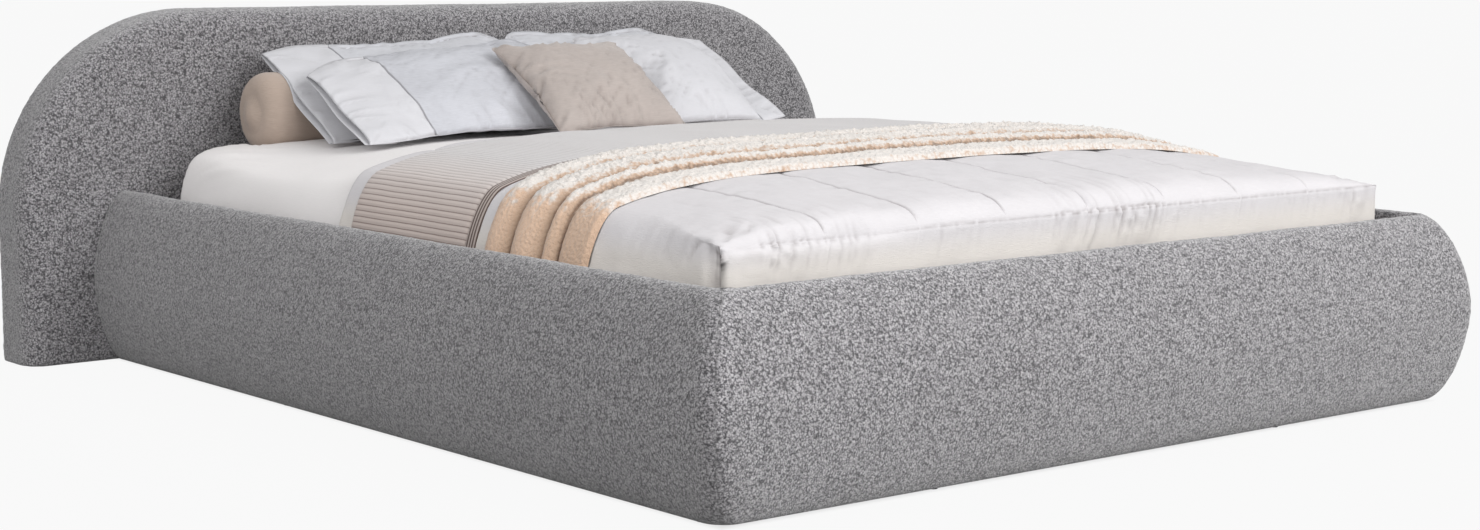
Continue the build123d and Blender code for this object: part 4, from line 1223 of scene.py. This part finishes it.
def makePillow(name, spec):
    low, lean = np.array(spec["low"]), np.array(spec["high"]) - np.array(spec["low"])
    length, width = float(np.hypot(*lean)), spec["end"] - spec["start"]
    up, normal = np.array([0, *lean]) / length, np.array([0, -lean[1], lean[0]]) / length
    near = [seam + np.linspace(-0.009, 0.009, 7) / width for seam in spec["seams"]]
    fineU = np.unique(np.concatenate([steps(0, 1, bag["fine"] / width)] + near))
    fineV = steps(0, 1, bag["fine"] / length)
    upper, lower = pillowForm(name, spec, width, length, fineU, fineV)
    share, across = np.meshgrid(fineU, fineV, indexing="ij")
    if spec["shape"]:
        spec["shape"](upper, lower, share, across, width, length)
    # the left end sinks and hangs
    droop = 1 - spec["droop"] * np.exp(-share / 0.24)
    for grid in (upper, lower):
        grid[..., 1] = (grid[..., 1] - spec["sink"] * bell(share, 0.16) * (1 - across) ** 2) * droop
    lift, groove = creaseLift(spec, share, across, width, length)
    upper[..., 2] = np.maximum(upper[..., 2] + lift - groove, lower[..., 2] + 0.001)
    # leans it, and presses both faces out of what lies behind them
    corner, right = np.array([spec["start"], *low]), np.array([1, 0, 0])
    lying = [(corner + grid[..., 0:1] * right + grid[..., 1:2] * up + grid[..., 2:3] * normal).reshape(-1, 3)
             for grid in (upper, lower)]
    fromRim = np.minimum(np.minimum(across, 1 - across), np.minimum(share, 1 - share)).ravel()
    points = []
    for flat, thin in zip(lying, (bag["thin"] * np.clip(fromRim / 0.03, 0, 1), 0)):
        push = surfaceAbove(spec["behind"], flat, normal) + bag["gap"] + thin
        points.append(flat + normal * np.maximum(0, push)[:, None])
    faces, kinds = pillowFaces(spec, fineU, len(fineV))
    if spec["open"]:
        openEnd(points, faces, kinds, len(fineV))
    piece = meshObject(name, np.concatenate(points), faces, spec["cloths"], kinds)
    piece.modifiers.new("weld", "WELD").merge_threshold = bag["weld"]
    applyModifiers(piece)
    fixNormals(piece)
    print("bed:", name, len(piece.data.vertices), "points")
    return piece


def openEnd(points, faces, kinds, rows):
    # the case's open end: a hem turned in on both faces, and a loose flap between them
    upper, lower = points
    middle = (upper[:rows] + lower[:rows]) / 2
    centre = np.concatenate([middle, middle[::-1]])
    edge = np.concatenate([upper[:rows], lower[:rows][::-1]])
    previous = [*range(rows), *range(len(upper) + rows - 1, len(upper) - 1, -1)]
    first = 2 * len(upper)
    for inward, shrink in hemRings:
        points.append(centre + (edge - centre) * shrink + np.array([inward, 0, 0]))
        current = list(range(first, first + len(previous)))
        for k in range(len(previous)):
            after = (k + 1) % len(previous)
            faces.append((previous[k], previous[after], current[after], current[k]))
            kinds.append(0)
        previous = current
        first += len(previous)
    faces.append(tuple(previous))
    kinds.append(0)


def cuffShape(upper, lower, share, across, width, length):
    # left end of the case: flat and straight, its mouth a little open
    reach, (flat, swell) = cuff["reach"], cuff["rise"]
    t = np.clip((reach - share) / reach, 0, 1)
    blend, flatten, parted = smoothStep(t * 1.6), smoothStep(t * 3), smoothStep(t * 1.3)
    mouth = np.clip(1 - (2 * across - 1) ** 2, 0, 1) ** 0.4
    column = int(np.argmin(np.abs(share[:, 0] - reach)))
    rise = np.where(share > reach, flat + swell * smoothStep((share - reach) / cuff["riseRun"]), flat)
    for grid, lip in zip((upper, lower), cuff["lips"]):
        grid[..., 2] *= rise
        body = grid[column, :, 2][None, :] * (1 - t) ** 0.8 * 0.9
        grid[..., 0] += (share * width - grid[..., 0]) * blend
        grid[..., 1] += (across * length - grid[..., 1]) * blend
        grid[..., 2] += (body + lip * mouth * parted - grid[..., 2]) * flatten
    sag = np.sin(across * math.pi * 3 + 0.6) * cuff["sag"] * t
    lower[..., 0] -= cuff["slip"] * smoothStep((t - 0.6) / 0.4) * (1 - across)
    upper[..., 2] += sag
    lower[..., 2] += sag


def flangeShape(upper, lower, share, across, width, length):
    # right end: a flat stitched band beyond the filling
    reach, (flat, swell) = flange["reach"], flange["rise"]
    t = np.clip((share - (1 - reach)) / reach, 0, 1)
    blend, flatten = smoothStep(t * 2.5), smoothStep(t * 3.2)
    thin = np.clip(1 - np.clip((share - 0.5) / (0.5 - reach), 0, 1) ** 2.6, 0, 1) ** 0.6
    level = flange["wave"] * np.sin(across * 9 + 1) * t * np.sin(across * math.pi)
    for grid, skin in ((upper, flange["skin"]), (lower, -flange["skin"])):
        grid[..., 2] = grid[..., 2] * (flat + swell * thin)
        grid[..., 0] += (share * width - grid[..., 0]) * blend
        grid[..., 1] += (length * (0.5 + (across - 0.5) * (1 - flange["draw"] * t)) - grid[..., 1]) * blend
        grid[..., 2] += (skin + level - grid[..., 2]) * flatten


whiteCase = clothWeave("whiteCaseCotton", (0.65, 0.648, 0.675), 0.07, weavePerMetre=800, bump=0.0006)
paleCase = clothWeave("paleCaseCotton", (0.64, 0.645, 0.68), 0.12, weavePerMetre=800, bump=0.0006)
blueCase = clothWeave("blueGreyCaseCotton", (0.60, 0.607, 0.648), 0.20, weavePerMetre=700, bump=0.0008)
# the dark seam row: thread and painted shade of the seam groove
seamThreadAndShade = clothWeave("caseSeamThreadAndShade", (0.40, 0.40, 0.425), 0.2, weavePerMetre=800, bump=0.0006)
cushionLinen = clothWeave("cushionLinen", (0.490, 0.432, 0.402), 0.20, weavePerMetre=430, bump=0.0014,
                          sheen=0.25)

# where the low and the high edge of each kind of pillow lie along the bed, and how far it rises between
leans = {"rear": (0.650, 1.030, 0.222), "front": (0.480, 0.872, 0.202), "small": (0.350, 0.640, 0.190)}


def leanPlaces(kind):
    # low and high edge of a pillow that stands on the sheet
    low, high, rise = leans[kind]
    z = float(crownTop(np.array([0.3]), np.array([low]), sheet["offset"])[0]) + sheet["offset"] + 0.0045
    return (low, z), (high, z + rise)


cuffed = {"droop": 0.145, "sink": 0.014, "seams": [cuff["reach"]], "beyond": 1, "open": True,
          "shape": cuffShape}
pillows = (
    {"name": "rearLeftPillow", "node": "pillow_rear_left", "body": "rear_left_pillow", "slot": "pillow_pale",
     "kind": "rear", "start": -0.655, "end": 0.035, "over": 0.055, "seed": 51,
     "cloths": [whiteCase, paleCase, seamThreadAndShade], "behind": ["bolster"], **cuffed},
    {"name": "rearRightPillow", "node": "pillow_rear_right", "body": "rear_right_pillow",
     "slot": "pillow_blue_grey", "kind": "rear", "start": 0.050, "end": 0.550, "over": 0.055, "seed": 52,
     "cloths": [paleCase], "behind": ["bolster"]},
    {"name": "frontLeftPillow", "node": "pillow_front_left", "body": "front_left_pillow",
     "slot": "pillow_blue_grey", "kind": "front", "start": -0.660, "end": 0.030, "over": 0.078, "seed": 53,
     "cloths": [whiteCase, blueCase, seamThreadAndShade], "behind": ["rearLeftPillow"], **cuffed, "droop": 0.31},
    {"name": "frontRightPillow", "node": "pillow_front_right", "body": "front_right_pillow",
     "slot": "pillow_white", "kind": "front", "start": 0.155, "end": 0.575, "over": 0.078, "seed": 54,
     "corner": 0.040, "seams": [0.79], "cloths": [whiteCase, whiteCase, seamThreadAndShade], "shape": flangeShape,
     "behind": ["rearRightPillow"]},
    {"name": "smallCushion", "node": "accent_cushion", "body": "small_cushion", "slot": "cushion_linen",
     "kind": "small", "start": -0.235, "end": 0.145, "over": 0.074, "seed": 55, "corner": 0.012, "boxy": 3.2,
     "slack": 0.4, "wrinkle": 0.6, "crease": 0.016, "creaseReach": 0.080, "draw": 0.8,
     "cloths": [cushionLinen], "behind": ["frontLeftPillow", "frontRightPillow"]})

made = {"bolster": bolsterPiece}
for own in pillows:
    spec = {**pillowBase, **own}
    spec["low"], spec["high"] = leanPlaces(spec["kind"])
    spec["behind"] = [made[name] for name in spec["behind"]] + [sheetPiece, headboardPad]
    pillow = makePillow(spec["name"], spec)
    markFoldShade(pillow, 2.6)
    made[spec["name"]] = pillow
    place(pillow, spec["body"], spec["slot"], spec["node"])

# the frame inside keeps its own solids; each kind of piece gets its real finish

grain = {"plywood": ((0.63, 0.47, 0.31), (0.74, 0.60, 0.43), (2.2, 26, 26), 0.55, 0.00035),
         "pine": ((0.62, 0.42, 0.23), (0.80, 0.62, 0.40), (3.0, 34, 34), 0.5, 0.0005),
         "beech": ((0.66, 0.48, 0.31), (0.80, 0.64, 0.46), (2.5, 60, 60), 0.38, 0.0003)}


def woodMaterial(name, kind, turn=(0, 0, 0)):
    # long fibres with darker bands, turned to run along the piece
    dark, pale, stretch, rough, bump = grain[kind]
    mat, tree, coords = newMaterial(name, rough=rough, colour=pale)
    bands = noiseNode(tree, stretched(tree, coords, stretch, turn), 1.0, 5, 0.8)
    fibres = noiseNode(tree, stretched(tree, coords, scaled(stretch, 8), turn), 1.0, 3)
    tone = mathNode(tree, "MULTIPLY_ADD", fibres, 0.35, mathNode(tree, "MULTIPLY", bands, 0.65))
    finish = rampNode(tree, tone, [(0.34, dark), (0.50, pale), (0.66, scaled(pale, 1.05))])
    return finished(mat, finish, fibres, bump, 0.5)


def plyMaterial(name):
    # birch faces, with the dark and pale plies on the cut edges at right angles to the sheet
    dark, pale, stretch, rough, bump = grain["plywood"]
    mat, tree, coords = newMaterial(name, rough=rough, colour=pale)
    bands = noiseNode(tree, stretched(tree, coords, stretch), 1.0, 5, 1.2)
    face = rampNode(tree, bands, [(0.32, dark), (0.50, pale), (0.68, scaled(pale, 1.06))])
    where = splitNode(tree, coords)
    layer = mathNode(tree, "DIVIDE", mathNode(tree, "ADD", where["X"], where["Y"]), 0.0028)
    plies = mathNode(tree, "PINGPONG", layer, 0.5)
    edge = rampNode(tree, plies, [(0.18, scaled(dark, 0.55)), (0.30, pale)])
    lying = splitNode(tree, addNode(tree, "NewGeometry").outputs["Normal"])["Z"]
    up = mathNode(tree, "GREATER_THAN", mathNode(tree, "ABSOLUTE", lying), 0.8)
    return finished(mat, mixNode(tree, up, face, edge), bands, bump, 0.4)


def zincMaterial():
    mat, tree, coords = newMaterial("zincPlatedSteel", rough=0.35, colour=(0.60, 0.61, 0.63), metal=1.0)
    spangle = addNode(tree, "TexVoronoi", {"Vector": coords, "Scale": 260}).outputs["Distance"]
    cloud = noiseNode(tree, coords, 60, 3)
    rough = rangeNode(tree, spangle, 0, 1, 0.26, 0.46)
    tree.links.new(rough, tree.nodes["Principled BSDF"].inputs["Roughness"])
    finish = rampNode(tree, cloud, [(0.35, (0.50, 0.51, 0.54)), (0.65, (0.68, 0.68, 0.67))])
    return finished(mat, finish, cloud, 0.0002, 0.4)


def tapeMaterial():
    mat, tree, coords = newMaterial("blackTapeWebbing", rough=0.8, colour=(0.045, 0.045, 0.05), sheen=0.3)
    waves = []
    for scale, distortion, direction in ((190, 0.4, "Y"), (110, 0.0, "X")):
        sockets = {"Vector": coords, "Scale": scale, "Distortion": distortion}
        wave = addNode(tree, "TexWave", sockets, wave_type="BANDS", bands_direction=direction)
        waves.append(wave.outputs["Fac"])
    weave = mathNode(tree, "MULTIPLY", *waves)
    finish = rampNode(tree, weave, [(0.1, (0.015, 0.015, 0.018)), (0.7, (0.08, 0.08, 0.085))])
    return finished(mat, finish, weave, 0.0006, 0.8)


def glideMaterial():
    mat, tree, coords = newMaterial("blackNylonGlide", rough=0.5, colour=(0.03, 0.03, 0.032))
    pebble = noiseNode(tree, coords, 900)
    finish = rampNode(tree, pebble, [(0.3, (0.022, 0.022, 0.024)), (0.7, (0.045, 0.045, 0.048))])
    return finished(mat, finish, pebble, 0.0003, 0.6)


quarter = math.pi / 2
finishes = {"plywood": plyMaterial("birchPlywood"),
            "pine": woodMaterial("planedPine", "pine", (0, 0, quarter)),
            "uprightPine": woodMaterial("planedPineUpright", "pine", (0, quarter, 0)),
            "slat_wood": woodMaterial("slatBeech", "beech"), "zinc_steel": zincMaterial(),
            "tape_webbing": tapeMaterial(), "glide_plastic": glideMaterial()}
upright = ("centre_leg_1", "centre_leg_2", "centre_leg_3", "headboard_studs")
for entry in frame["record"]["subparts"]:
    finish = finishes.get("uprightPine" if entry["node"] in upright else entry["material_slot"])
    if finish is not None:
        for slot in nodes[entry["node"]].material_slots:
            slot.material = finish
print("bed: finishes on the frame")

# floor and light

studio = {"floor": (0.20, 0.20, 0.20), "half": 60, "ambient": 0.53, "glow": 0.93, "shade": 0.10,
          "shadeHalf": 0.93, "shadeLength": 1.14, "fade": 0.06, "aim": (0, 0, 0.3)}
# name, place, size and power
lights = (("keyLight", (2.3, -5.5, 4.2), 4.0, 203), ("frontLight", (-1.0, -7.0, 2.6), 4.0, 203),
          ("leftLight", (-5.5, -1.5, 3.6), 3.0, 104))


def seenNode(tree):
    # 1 on rays from the camera, also by way of something shiny or clear
    rays = addNode(tree, "LightPath").outputs
    byWay = mathNode(tree, "MAXIMUM", rays["Is Glossy Ray"], rays["Is Transmission Ray"])
    return mathNode(tree, "MAXIMUM", rays["Is Camera Ray"], byWay)


def makeStudio():
    # to the camera the floor and the world are white, with a soft shade under the bed
    floorMat, tree, coords = newMaterial("studioFloor", rough=0.9, colour=studio["floor"])
    where, beyond = splitNode(tree, coords), []
    for axis, reach in (("X", "shadeHalf"), ("Y", "shadeLength")):
        beyond.append(mathNode(tree, "SUBTRACT", mathNode(tree, "ABSOLUTE", where[axis]), studio[reach]))
    beyond = mathNode(tree, "MAXIMUM", *beyond)
    bright = rangeNode(tree, beyond, -studio["fade"], studio["fade"], studio["shade"], studio["glow"])
    glow = addNode(tree, "Emission", {"Color": (1, 1, 1, 1), "Strength": 1.0})
    mix = addNode(tree, "MixShader", {"Fac": mathNode(tree, "MULTIPLY", seenNode(tree), bright)})
    tree.links.new(tree.nodes["Principled BSDF"].outputs[0], mix.inputs[1])
    tree.links.new(glow.outputs[0], mix.inputs[2])
    tree.links.new(mix.outputs[0], tree.nodes["Material Output"].inputs["Surface"])
    corners = [(x * studio["half"], y * studio["half"], 0) for x, y in ((-1, -1), (1, -1), (1, 1), (-1, 1))]
    meshObject("studioFloor", corners, [(0, 1, 2, 3)], floorMat)
    world = bpy.data.worlds.new("studioWorld")
    bpy.context.scene.world = world
    world.use_nodes = True
    back = world.node_tree.nodes["Background"]
    back.inputs["Color"].default_value = (1, 1, 1, 1)
    ambient = studio["ambient"]
    strength = mathNode(world.node_tree, "MULTIPLY_ADD", seenNode(world.node_tree), 1.0 - ambient, ambient)
    world.node_tree.links.new(strength, back.inputs["Strength"])
    for name, spot, size, power in lights:
        lamp = bpy.data.lights.new(name, "AREA")
        lamp.size = size
        lamp.energy = power
        light = newObject(name, lamp)
        light.location = spot
        x, y, z = np.array(studio["aim"]) - np.array(spot)
        light.rotation_euler = (math.atan2(math.hypot(x, y), -z), 0, math.atan2(-x, y))


makeStudio()
print("bed: floor and light")
